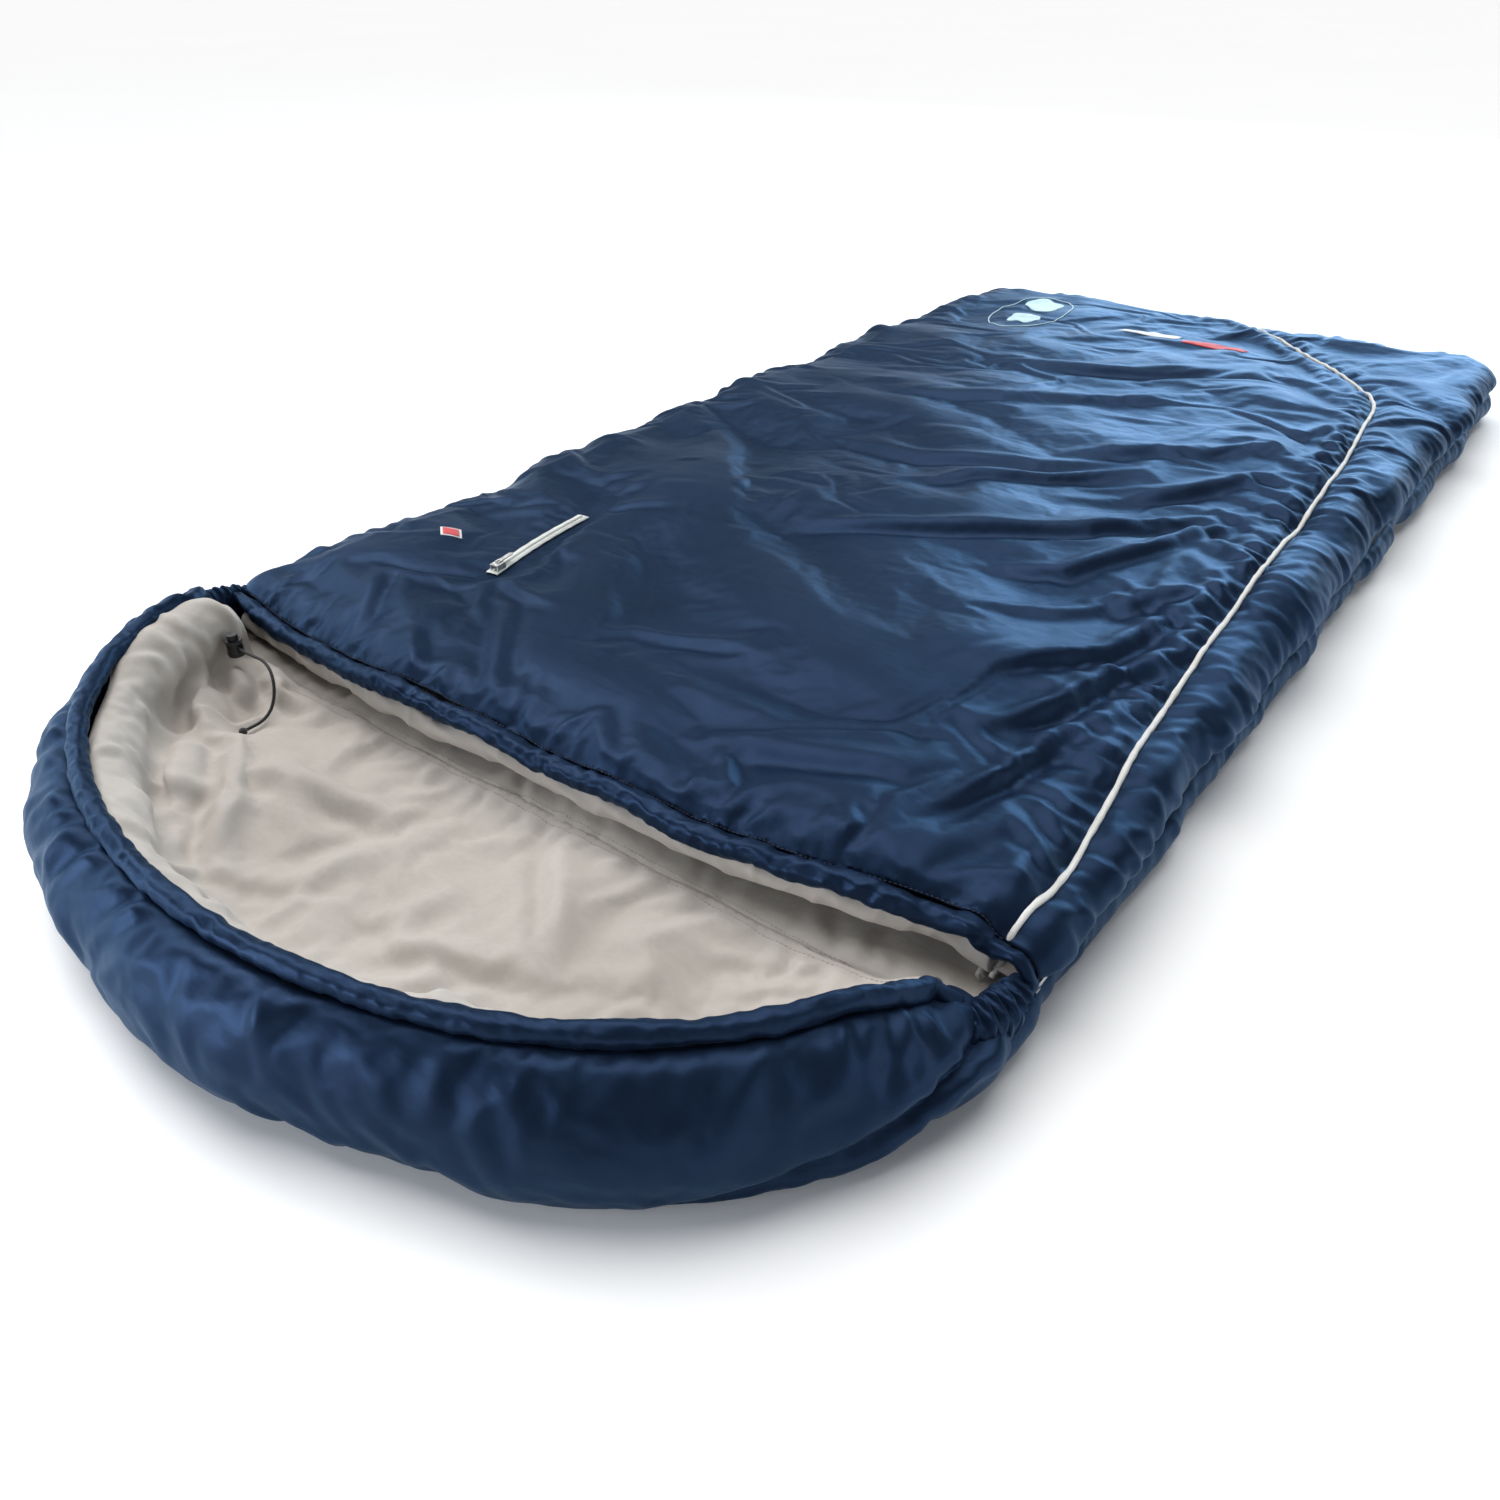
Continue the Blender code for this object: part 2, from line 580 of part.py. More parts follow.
def make_cord_lock():
    middle = LOCK_CENTRE
    floor = middle.z - LOCK_HEIGHT / 2
    barrel = bmesh.new()
    cylinder_into(barrel, LOCK_RADIUS, LOCK_HEIGHT, Matrix.Identity(4))
    body = from_bmesh("cord_lock_barrel", barrel, BLACK, Matrix.Translation(middle))
    bore = bmesh.new()
    lift = Matrix.Translation(middle + Vector((0, 0, LOCK_FLOOR)))
    cylinder_into(bore, LOCK_BORE, LOCK_HEIGHT, lift)
    cut(body, bore, "lock_bore")
    hole = bmesh.new()
    across = Matrix.Translation(middle) @ Matrix.Rotation(math.pi / 2, 4, "Y")
    cylinder_into(hole, CORD_CLEAR, 4 * LOCK_RADIUS, across, sides=16)
    cut(body, hole, "lock_cord_hole")

    foot = floor + LOCK_FLOOR + GAP + SPRING_HEIGHT + GAP
    top = middle.z + LOCK_HEIGHT / 2 + BUTTON_PROUD
    plunger = bmesh.new()
    cylinder_into(plunger, BUTTON_RADIUS, top - foot, Matrix.Identity(4))
    place = Matrix.Translation((middle.x, middle.y, (top + foot) / 2))
    button = from_bmesh("cord_lock_button", plunger, BLACK, place)
    slot = bmesh.new()
    low = middle.z - CORD_RADIUS - 0.0007
    high = middle.z + CORD_RADIUS + 0.0007 + BUTTON_TRAVEL
    shape = Matrix.Translation((middle.x, middle.y, (low + high) / 2))
    shape = shape @ Matrix.Diagonal((4 * LOCK_RADIUS, 2 * CORD_CLEAR, high - low, 1.0))
    bmesh.ops.create_cube(slot, size=1.0, matrix=shape)
    cut(button, slot, "button_cord_slot")

    spring_foot = floor + LOCK_FLOOR + GAP + SPRING_WIRE
    rise = SPRING_HEIGHT - 2 * SPRING_WIRE
    coil = []
    for k in range(SPRING_TURNS * SPRING_STEPS + 1):
        turn = 2 * math.pi * k / SPRING_STEPS
        across = Vector((math.cos(turn), math.sin(turn), 0.0)) * SPRING_RADIUS
        height = spring_foot + rise * k / (SPRING_TURNS * SPRING_STEPS)
        coil.append(Vector((middle.x, middle.y, height)) + across)
    wire("cord_lock_spring", coil, SPRING_WIRE, STEEL)


# Trim


def make_trim():
    route = []
    for a, b in zip(PIPING_ROUTE, PIPING_ROUTE[1:]):
        for share in (0, 1 / 3, 2 / 3):
            x = a[0] + (b[0] - a[0]) * share
            y = a[1] + (b[1] - a[1]) * share
            route.append(Vector((x, y, cover_height(x, y) + PIPING_RADIUS + 0.0008)))
    wire("cover_piping", route, PIPING_RADIUS, PALE_TRIM)

    height = COVER_TOP_Z + GAP + TRIM_THICKNESS / 2
    wide, deep = BADGE_SIZE[0] / 2, BADGE_SIZE[1] / 2
    lozenge = [(-wide, 0), (0, -deep), (wide, 0), (0, deep)]
    badge = Matrix.Translation((*BADGE_CENTRE, height))
    flat_outline("cover_badge", [lozenge], TRIM_THICKNESS, RED, badge)
    bar = (*FOOT_BAR, TRIM_THICKNESS)
    box("foot_bar_white", bar, PALE_TRIM, Matrix.Translation((*FOOT_BAR_WHITE, height)))
    box("foot_bar_red", bar, RED, Matrix.Translation((*FOOT_BAR_RED, height)))
    turns = [2 * math.pi * k / PRINT_SIDES for k in range(PRINT_SIDES)]
    blob = [(PRINT_RADII[0] * math.cos(t), PRINT_RADII[1] * math.sin(t)) for t in turns]
    place = Matrix.Translation((*PRINT_CENTRE, height))
    flat_outline("foot_print", [blob], TRIM_THICKNESS, ICE, place)


make_bottom()
make_cover()
rim_route = make_hood()
make_main_zip()
make_sliders()
make_pocket()
make_inner_trim()
make_drawcord(rim_route)
make_cord_lock()
make_trim()
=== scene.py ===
import math

import bmesh
import bpy
import numpy as np
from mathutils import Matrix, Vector
from mathutils.bvhtree import BVHTree
from mathutils.geometry import delaunay_2d_cdt


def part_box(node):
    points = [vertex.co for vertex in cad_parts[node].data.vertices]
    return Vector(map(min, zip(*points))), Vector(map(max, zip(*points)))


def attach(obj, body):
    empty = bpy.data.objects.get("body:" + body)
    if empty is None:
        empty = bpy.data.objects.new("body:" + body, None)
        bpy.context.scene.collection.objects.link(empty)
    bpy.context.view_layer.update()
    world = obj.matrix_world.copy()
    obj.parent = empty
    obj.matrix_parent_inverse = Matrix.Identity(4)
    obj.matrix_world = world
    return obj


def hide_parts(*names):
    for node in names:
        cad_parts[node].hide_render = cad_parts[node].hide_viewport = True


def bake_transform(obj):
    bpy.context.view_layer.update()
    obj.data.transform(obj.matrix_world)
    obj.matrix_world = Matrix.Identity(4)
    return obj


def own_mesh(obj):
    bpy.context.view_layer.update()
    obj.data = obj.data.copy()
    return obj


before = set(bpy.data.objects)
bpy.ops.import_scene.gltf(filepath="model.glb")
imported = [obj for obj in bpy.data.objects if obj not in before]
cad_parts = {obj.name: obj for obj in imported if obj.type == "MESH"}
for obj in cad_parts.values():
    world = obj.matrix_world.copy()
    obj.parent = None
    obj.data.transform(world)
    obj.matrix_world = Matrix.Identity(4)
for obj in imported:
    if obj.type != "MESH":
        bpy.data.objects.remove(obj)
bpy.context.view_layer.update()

# Camera, first

camera_data = bpy.data.cameras.new("camera")
camera_data.lens = 28.45
camera_data.sensor_width = 36.0
camera_data.clip_start = 0.02
camera = bpy.data.objects.new("camera", camera_data)
camera.location = (0.668, -1.283, 0.655)
camera.rotation_euler = (math.radians(90 - 34.01), 0.0, math.radians(36.96))
bpy.context.scene.collection.objects.link(camera)
bpy.context.scene.camera = camera
bpy.context.scene.view_settings.view_transform = "Standard"

# Outline and joints, as in the CAD
HALF = 0.475
FOOT = 1.08
HEM = -0.700
NECK = -0.735
HOOD_FRONT = -0.7365
HOOD_DEPTH = HOOD_FRONT + 1.08
CORNER = 0.075
SEAM_Z = 0.050
HINGE_SIDE = -0.4720  # where the left side starts to be held back from the cover's hinge
HINGE_GIVE = 0.0040

PIPING = [(0.440, -0.696), (0.449, -0.620), (0.440, -0.520), (0.424, -0.360), (0.412, -0.120), (0.402, 0.130),
          (0.390, 0.360), (0.371, 0.560), (0.346, 0.714), (0.237, 0.859), (0.140, 0.973), (0.080, 1.030),
          (0.045, 1.062)]
POCKET_CENTRE = (-0.266, -0.436)
POCKET_TURN = math.radians(99.5)
POCKET_LENGTH = 0.175


# Small tools


def run_of(line):
    """Distance along a line at each of its points."""
    return np.concatenate([[0], np.cumsum(np.linalg.norm(np.diff(line, axis=0), axis=1))])


def even(points, count):
    """A smooth curve through points, sampled evenly."""
    p = np.array(points, float)
    ends = np.vstack([2 * p[0] - p[1], p, 2 * p[-1] - p[-2]])
    fine = []
    for a, b, c, d in zip(ends, ends[1:], ends[2:], ends[3:]):
        for t in np.linspace(0, 1, 24, endpoint=False):
            fine.append(0.5 * (2 * b + (c - a) * t + (2 * a - 5 * b + 4 * c - d) * t**2
                               + (3 * b - a - 3 * c + d) * t**3))
    fine.append(p[-1])
    fine = np.array(fine)
    run = run_of(fine)
    at = np.linspace(0, run[-1], count)
    return np.stack([np.interp(at, run, fine[:, k]) for k in range(fine.shape[1])], 1)


def length_of(p):
    return float(np.linalg.norm(np.diff(np.array(p, float), axis=0), axis=1).sum())


def smooth(a, b, x):
    t = np.clip((np.asarray(x, float) - a) / (b - a), 0, 1)
    return t * t * (3 - 2 * t)


def lumps(p, size, seed, waves=14):
    """A smooth random field over points, about -1 to 1, whose bumps are about size across."""
    rng = np.random.default_rng(seed)
    out = np.zeros(len(p))
    for _ in range(waves):
        way = rng.normal(size=p.shape[1])
        way /= np.linalg.norm(way)
        out += np.sin(p @ way * 2 * np.pi / (size * rng.uniform(1.4, 2.8)) + rng.uniform(0, 2 * np.pi))
    return out / math.sqrt(waves) * 0.9


def crease(p, size, seed):
    """Sharp little ridges between smooth hollows, 0 to 1."""
    return 1 - np.abs(np.tanh(1.6 * lumps(p, size, seed)))


def nearest(p, line):
    """Distance of each point to a polyline, signed by its side, and the share of its length there."""
    line = np.array(line, float)
    best = np.full(len(p), 9.0)
    side = np.ones(len(p))
    share = np.zeros(len(p))
    steps = np.linalg.norm(np.diff(line, axis=0), axis=1)
    run = np.concatenate([[0], np.cumsum(steps)])
    for k, (a, b) in enumerate(zip(line, line[1:])):
        d = b - a
        t = np.clip((p - a) @ d / (d @ d), 0, 1)
        off = p - a - t[:, None] * d
        far = np.linalg.norm(off, axis=1)
        closer = far < best
        best = np.where(closer, far, best)
        side = np.where(closer, np.sign(d[0] * off[:, 1] - d[1] * off[:, 0]), side)
        share = np.where(closer, (run[k] + t * steps[k]) / run[-1], share)
    return best, side, share


class Folds:
    """Folds drawn as strokes on the flat pattern: a ridge with a hollow beside it, fading at its ends."""

    def __init__(self, seed):
        self.rng = np.random.default_rng(seed)
        self.strokes = []

    def draw(self, line, height, width, start=0.25, end=0.35, hollow=0.8, side=1):
        self.strokes.append((np.array(line, float), height, width, start, end, hollow, side))

    def puckers(self, route, spacing, length, width, height, sides=(1, -1), lean=0.0, spread=0.35, skip=0.15):
        """Short folds that leave a seam on both sides of it."""
        route = even(route, max(8, int(length_of(route) / 0.01)))
        total = length_of(route)
        run = run_of(route)
        for side in sides:
            at = 0.0
            while at < total:
                at += spacing * self.rng.uniform(0.55, 1.5)
                if self.rng.uniform() < skip:
                    continue
                x, y = (np.interp(at, run, route[:, k]) for k in (0, 1))
                x2, y2 = (np.interp(at + 0.01, run, route[:, k]) for k in (0, 1))
                way = math.atan2(y2 - y, x2 - x) + side * math.pi / 2 + lean + self.rng.normal() * spread
                reach = length * self.rng.uniform(0.4, 1.5)
                bend = self.rng.normal() * 0.25
                points = []
                for t in (0, 0.35, 0.7, 1):
                    turn = way + bend * t
                    points.append((x + reach * t * math.cos(turn), y + reach * t * math.sin(turn)))
                tall = height * self.rng.uniform(0.35, 1.3)
                wide = width * self.rng.uniform(0.7, 1.5)
                self.draw(points, tall, wide, 0.12, 0.75, 0.7, self.rng.choice((-1, 1)))

    def scatter(self, box, count, way, spread, length, width, height):
        """Loose creases with a common direction."""
        for _ in range(count):
            x = self.rng.uniform(box[0], box[1])
            y = self.rng.uniform(box[2], box[3])
            turn = way + self.rng.normal() * spread
            reach = length * self.rng.uniform(0.5, 1.6)
            bend = self.rng.normal() * 0.3
            points = [(x + reach * t * math.cos(turn + bend * t), y + reach * t * math.sin(turn + bend * t))
                      for t in (-0.5, -0.15, 0.2, 0.5)]
            self.draw(points, height * self.rng.uniform(0.3, 1.2), width * self.rng.uniform(0.6, 1.5),
                      0.45, 0.45, 0.6, self.rng.choice((-1, 1)))

    def field(self, flat):
        out = np.zeros(len(flat))
        for line, height, width, start, end, hollow, hand in self.strokes:
            reach = 3.2 * width
            low = line.min(0) - reach
            high = line.max(0) + reach
            near = np.nonzero(((flat > low) & (flat < high)).all(1))[0]
            if not len(near):
                continue
            far, side, share = nearest(flat[near], line)
            off = far * side * hand / width
            shape = np.exp(-((off - 0.35) ** 2) * 1.3) - hollow * np.exp(-((off + 0.95) ** 2) * 1.6)
            fade = smooth(0, start, share) * (1 - smooth(1 - end, 1, share))
            out[near] += height * shape * fade * (far < reach)
        return out


def new_mesh(name, verts, faces, smooth_shading=True):
    mesh = bpy.data.meshes.new(name)
    mesh.from_pydata([tuple(v) for v in verts], [], [tuple(int(i) for i in f) for f in faces])
    mesh.validate()
    if smooth_shading:
        mesh.shade_smooth()
    obj = bpy.data.objects.new(name, mesh)
    bpy.context.scene.collection.objects.link(obj)
    return obj


def coords(obj, what="co"):
    out = np.empty(len(obj.data.vertices) * 3, np.float32)
    obj.data.vertices.foreach_get(what, out)
    return out.reshape(-1, 3).astype(float)


def set_coords(obj, p):
    obj.data.vertices.foreach_set("co", np.asarray(p, np.float32).ravel())
    obj.data.update()


def normals(obj):
    return coords(obj, "normal")


def surface_tree(obj):
    return BVHTree.FromPolygons([v.co for v in obj.data.vertices], [tuple(f.vertices) for f in obj.data.polygons])


def grid_faces(lines, per_line):
    return [(i * per_line + k, i * per_line + k + 1, (i + 1) * per_line + k + 1, (i + 1) * per_line + k)
            for i in range(lines - 1) for k in range(per_line - 1)]


def ring_faces(rings, sides, base=0):
    """Faces of a closed tube of rings, numbered from base: its side, then its two ends."""
    faces = []
    for i in range(rings - 1):
        for k in range(sides):
            a, b = base + i * sides + k, base + i * sides + (k + 1) % sides
            faces.append((a, b, b + sides, a + sides))
    last = base + (rings - 1) * sides
    return faces + [tuple(range(base, base + sides))[::-1], tuple(range(last, last + sides))]


def staggered(reach, low, high, step):
    """Points in rows from y low to high, every other row moved by half a step."""
    rows, y = [], low
    while y < high:
        x = np.arange(-reach, reach, step) + 0.5 * step * (len(rows) % 2)
        rows.append(np.column_stack([x, np.full(len(x), y)]))
        y += 0.866 * step
    return np.vstack(rows)


def outward(obj, up=None):
    """Turn the faces outward; up says which way an open sheet faces: 1 up, -1 down."""
    bm = bmesh.new()
    bm.from_mesh(obj.data)
    bmesh.ops.recalc_face_normals(bm, faces=bm.faces)
    bm.to_mesh(obj.data)
    bm.free()
    n = normals(obj)
    if up is not None and n[:, 2].mean() * up < 0:
        obj.data.flip_normals()


def inside_hinge(obj):
    """The left side stays inside the hinge line, so that the halves clear each other when the bag is open."""
    p = coords(obj)
    over = np.maximum(HINGE_SIDE - p[:, 0], 0)
    p[:, 0] += over - HINGE_GIVE * (1 - np.exp(-over / HINGE_GIVE))
    set_coords(obj, p)


def freeze(obj):
    """Apply every modifier."""
    bpy.context.view_layer.update()
    made = bpy.data.meshes.new_from_object(obj.evaluated_get(bpy.context.evaluated_depsgraph_get()))
    obj.modifiers.clear()
    obj.data = made


def finer(obj):
    mod = obj.modifiers.new("finer", "SUBSURF")
    mod.levels = mod.render_levels = 1
    freeze(obj)


def skin(obj, thickness):
    mod = obj.modifiers.new("cloth_thickness", "SOLIDIFY")
    mod.thickness = thickness
    mod.offset = -1.0
    freeze(obj)


def drape(obj, hold, grow=0.02, pressure=0.0, frames=16, cap=0.008, stiff=15.0, bend=0.4):
    """Cloth simulation: the cloth is a little larger than its seams, so it buckles between them."""
    group = obj.vertex_groups.new(name="hold")
    for level in np.unique(np.round(hold, 2)):
        if level > 0:
            group.add([int(i) for i in np.nonzero(np.abs(hold - level) < 0.005)[0]], float(level), "REPLACE")
    before = coords(obj)
    mod = obj.modifiers.new("cloth", "CLOTH")
    s = mod.settings
    s.quality = 4
    s.mass = 0.15
    s.air_damping = 2.0
    s.tension_stiffness = s.compression_stiffness = stiff
    s.shear_stiffness = stiff / 3
    s.bending_stiffness = bend
    s.tension_damping = s.compression_damping = 8
    s.bending_damping = 2
    s.shrink_min = -grow
    s.vertex_group_mass = "hold"
    s.pin_stiffness = 1.0
    s.effector_weights.gravity = 0.0
    if pressure:
        s.use_pressure = True
        s.uniform_pressure_force = pressure
    mod.collision_settings.use_collision = False
    mod.point_cache.frame_start = 1
    mod.point_cache.frame_end = frames
    scene = bpy.context.scene
    for step in range(1, frames + 1):
        scene.frame_set(step)
    ready = obj.evaluated_get(bpy.context.evaluated_depsgraph_get())
    after = np.empty(len(before) * 3, np.float32)
    ready.data.vertices.foreach_get("co", after)
    after = after.reshape(-1, 3).astype(float)
    obj.modifiers.remove(mod)
    obj.vertex_groups.remove(group)
    scene.frame_set(1)
    move = after - before
    far = np.linalg.norm(move, axis=1, keepdims=True)
    move *= np.minimum(1.0, cap / np.maximum(far, 1e-9))
    set_coords(obj, before + move)


def tube(name, route, radii, sides=14, ripple=None, flatten=1.0):
    """A closed tube along a route; ripple(i, turns) changes its radius at point i, and flatten scales its height."""
    route = np.array(route, float)
    count = len(route)
    radii = np.broadcast_to(radii, (count,))
    ahead = np.gradient(route, axis=0)
    ahead /= np.linalg.norm(ahead, axis=1, keepdims=True)
    up = np.tile([0.0, 0.0, 1.0], (count, 1))
    side = np.cross(ahead, up)
    side /= np.maximum(np.linalg.norm(side, axis=1, keepdims=True), 1e-9)
    up = np.cross(side, ahead)
    turns = np.linspace(0, 2 * np.pi, sides, endpoint=False)
    verts = []
    for i in range(count):
        r = np.full(sides, radii[i])
        if ripple is not None:
            r = r * (1 + ripple(i, turns))
        verts += [route[i] + r[k] * (math.cos(t) * side[i] + flatten * math.sin(t) * up[i]) for k,
                  t in enumerate(turns)]
    obj = new_mesh(name, verts, ring_faces(count, sides))
    outward(obj)
    return obj


def crinkle(obj, size, height, seed, ridged=True):
    p = coords(obj)
    n = normals(obj)
    rough = crease(p, size, seed) - 0.5 if ridged else lumps(p, size, seed)
    set_coords(obj, p + n * (height * rough)[:, None])


# Materials


class Nodes:
    def __init__(self, name):
        self.material = bpy.data.materials.new(name)
        self.material.use_nodes = True
        self.tree = self.material.node_tree
        self.shader = self.tree.nodes["Principled BSDF"]
        self.place = self.tree.nodes.new("ShaderNodeTexCoord").outputs["Object"]

    def add(self, kind, **sockets):
        node = self.tree.nodes.new("ShaderNode" + kind)
        for key, value in sockets.items():
            self.put(node.inputs[key.replace("_", " ")], value)
        return node

    def put(self, socket, value):
        if hasattr(value, "is_output"):
            self.tree.links.new(value, socket)
        else:
            socket.default_value = value

    def stretched(self, scale, turn=(0, 0, 0)):
        mapping = self.add("Mapping", Vector=self.place)
        mapping.inputs["Rotation"].default_value = turn
        mapping.inputs["Scale"].default_value = scale
        return mapping.outputs["Vector"]

    def noise(self, scale, detail=3.0, where=None, kind="FBM"):
        node = self.tree.nodes.new("ShaderNodeTexNoise")
        node.noise_type = kind
        self.put(node.inputs["Vector"], where or self.place)
        node.inputs["Scale"].default_value = scale
        node.inputs["Detail"].default_value = detail
        node.inputs["Roughness"].default_value = 0.5
        return node.outputs["Fac"]

    def weave(self, pitch, turn=0.0):
        """Two crossing sets of threads, a pitch apart."""
        where = self.stretched((1, 1, 1), (0, 0, turn))
        out = []
        for way in ("X", "Y"):
            wave = self.tree.nodes.new("ShaderNodeTexWave")
            wave.bands_direction = way
            self.put(wave.inputs["Vector"], where)
            wave.inputs["Scale"].default_value = 0.314 / pitch
            wave.inputs["Distortion"].default_value = 0.6
            wave.inputs["Detail"].default_value = 1.0
            wave.inputs["Detail Scale"].default_value = 1.5
            out.append(wave.outputs["Fac"])
        return self.math("MULTIPLY", out[0], out[1])

    def math(self, what, a, b):
        node = self.tree.nodes.new("ShaderNodeMath")
        node.operation = what
        self.put(node.inputs[0], a)
        self.put(node.inputs[1], b)
        return node.outputs[0]

    def ramp(self, value, low, high, to_low=0.0, to_high=1.0):
        node = self.add("MapRange", Value=value)
        for key, number in (("From Min", low), ("From Max", high), ("To Min", to_low), ("To Max", to_high)):
            node.inputs[key].default_value = number
        return node.outputs["Result"]

    def mix(self, share, a, b):
        node = self.tree.nodes.new("ShaderNodeMix")
        node.data_type = "RGBA"
        self.put(node.inputs["Factor"], share)
        for socket, value in zip((node.inputs[6], node.inputs[7]), (a, b)):
            self.put(socket, (*value, 1.0) if isinstance(value, tuple) and len(value) == 3 else value)
        return node.outputs[2]

    def bump(self, *layers):
        last = None
        for height, depth, strength in layers:
            node = self.tree.nodes.new("ShaderNodeBump")
            node.inputs["Distance"].default_value = depth
            node.inputs["Strength"].default_value = strength
            self.put(node.inputs["Height"], height)
            if last is not None:
                self.put(node.inputs["Normal"], last)
            last = node.outputs["Normal"]
        self.put(self.shader.inputs["Normal"], last)

    def set(self, **values):
        for key, value in values.items():
            self.put(self.shader.inputs[key.replace("_", " ")], value)
        return self.material


def nylon(name, base, light, crinkled=1.0):
    n = Nodes(name)
    broad = n.noise(3.2, 4.0)
    fine = n.noise(38.0, 5.0)
    colour = n.mix(n.ramp(broad, 0.35, 0.7), base, light)
    colour = n.mix(n.ramp(fine, 0.45, 0.85, 0.0, 0.35), colour, tuple(c * 0.72 for c in base))
    threads = n.weave(0.00055)
    worn = n.noise(9.0, 6.0, kind="RIDGED_MULTIFRACTAL")
    colour = n.mix(n.ramp(worn, 0.9, 1.6, 0.0, 0.075), colour, tuple(min(1, c * 1.7) for c in light))
    rough = n.ramp(n.noise(14.0, 4.0), 0.3, 0.7, 0.33, 0.45)
    long_way = n.noise(1.0, 4.0, n.stretched((26, 90, 60), (0, 0, 0.65)))
    other_way = n.noise(1.0, 4.0, n.stretched((95, 30, 60), (0, 0, 0.3)), kind="RIDGED_MULTIFRACTAL")
    n.bump((long_way, 0.0011 * crinkled, 0.50), (other_way, 0.0006 * crinkled, 0.30), (threads, 0.00012, 0.35))
    return n.set(Base_Color=colour, Roughness=rough, Metallic=0.55, Sheen_Weight=0.02, Sheen_Roughness=0.35,
                 Sheen_Tint=(0.42, 0.63, 1.0, 1.0), Specular_IOR_Level=0.12, Specular_Tint=(0.48, 0.70, 1.0, 1.0))


def cotton(name, base, light):
    n = Nodes(name)
    broad = n.noise(4.0, 3.0)
    fine = n.noise(160.0, 3.0)
    colour = n.mix(n.ramp(broad, 0.35, 0.68), base, light)
    colour = n.mix(n.ramp(fine, 0.4, 0.8, 0.0, 0.3), colour, tuple(c * 0.86 for c in base))
    threads = n.weave(0.0008, 0.1)
    soft = n.noise(1.0, 4.0, n.stretched((34, 60, 40), (0, 0, 0.9)))
    tight = n.noise(95.0, 4.0, kind="RIDGED_MULTIFRACTAL")
    rough = n.ramp(n.noise(20.0, 3.0), 0.3, 0.7, 0.72, 0.88)
    n.bump((soft, 0.0024, 0.45), (tight, 0.0005, 0.2), (threads, 0.00016, 0.5))
    return n.set(Base_Color=colour, Roughness=rough, Sheen_Weight=0.15, Sheen_Roughness=0.6,
                 Sheen_Tint=(1.0, 0.96, 0.9, 1.0), Specular_IOR_Level=0.25)


def ribbed(name, base, light, pitch, rough=0.6):
    """Woven tape, cord or piping."""
    n = Nodes(name)
    colour = n.mix(n.ramp(n.noise(60.0, 4.0), 0.35, 0.7), base, light)
    colour = n.mix(n.ramp(n.noise(700.0, 2.0), 0.5, 0.8, 0.0, 0.4), colour, tuple(c * 0.7 for c in base))
    n.bump((n.weave(pitch, 0.6), pitch * 0.35, 0.8), (n.noise(260.0, 3.0), 0.0002, 0.3))
    return n.set(Base_Color=colour, Roughness=n.ramp(n.noise(90.0), 0.3, 0.7, rough - 0.08, rough + 0.08),
                 Sheen_Weight=0.2, Specular_IOR_Level=0.4)


def metal(name, base, rough):
    n = Nodes(name)
    colour = n.mix(n.ramp(n.noise(220.0, 4.0), 0.4, 0.7), base, tuple(c * 0.8 for c in base))
    scratches = n.noise(1.0, 3.0, n.stretched((300, 1800, 300)))
    n.bump((scratches, 0.00008, 0.5))
    return n.set(Base_Color=colour, Metallic=1.0,
                 Roughness=n.ramp(n.noise(150.0, 3.0), 0.3, 0.7, rough - 0.07, rough + 0.1))


def moulded(name, base, rough):
    n = Nodes(name)
    colour = n.mix(n.ramp(n.noise(120.0, 3.0), 0.4, 0.7), base, tuple(c * 1.5 for c in base))
    n.bump((n.noise(1400.0, 2.0), 0.00006, 0.6))
    return n.set(Base_Color=colour, Roughness=n.ramp(n.noise(200.0), 0.3, 0.7, rough - 0.05, rough + 0.1),
                 Specular_IOR_Level=0.45)


NAVY = nylon("navy_shell", (0.0078, 0.0165, 0.0380), (0.0116, 0.0236, 0.0530))
NAVY_TUNNEL = nylon("navy_tunnel", (0.0074, 0.0155, 0.0360), (0.0116, 0.0236, 0.0530), crinkled=2.4)
BEIGE = cotton("beige_cotton_cloth", (0.395, 0.363, 0.330), (0.450, 0.415, 0.380))
TAPE_NAVY = ribbed("navy_tape_weave", (0.006, 0.012, 0.035), (0.010, 0.018, 0.050), 0.0009)
TEETH_NAVY = moulded("navy_coil", (0.010, 0.016, 0.035), 0.42)
METAL = metal("brushed_zip_metal", (0.62, 0.63, 0.65), 0.32)
PALE_METAL = metal("pale_lacquered_metal", (0.66, 0.66, 0.64), 0.42)
PALE = ribbed("pale_piping_weave", (0.62, 0.61, 0.57), (0.72, 0.71, 0.68), 0.0009, 0.55)
PALE_TAPE = ribbed("pale_tape_weave", (0.60, 0.61, 0.57), (0.72, 0.73, 0.69), 0.0007, 0.6)
CORD_BLACK = ribbed("black_braid", (0.006, 0.006, 0.008), (0.014, 0.014, 0.017), 0.0008, 0.62)
PLASTIC = moulded("black_moulded", (0.006, 0.006, 0.007), 0.30)
STEEL = metal("spring_wire", (0.55, 0.55, 0.57), 0.22)
RED = ribbed("red_stitched", (0.50, 0.016, 0.022), (0.62, 0.030, 0.035), 0.0007, 0.55)
WHITE = ribbed("white_stitched", (0.66, 0.66, 0.67), (0.78, 0.78, 0.79), 0.0007, 0.55)
ICE = ribbed("pale_blue_printed", (0.42, 0.60, 0.64), (0.55, 0.72, 0.75), 0.0007, 0.5)
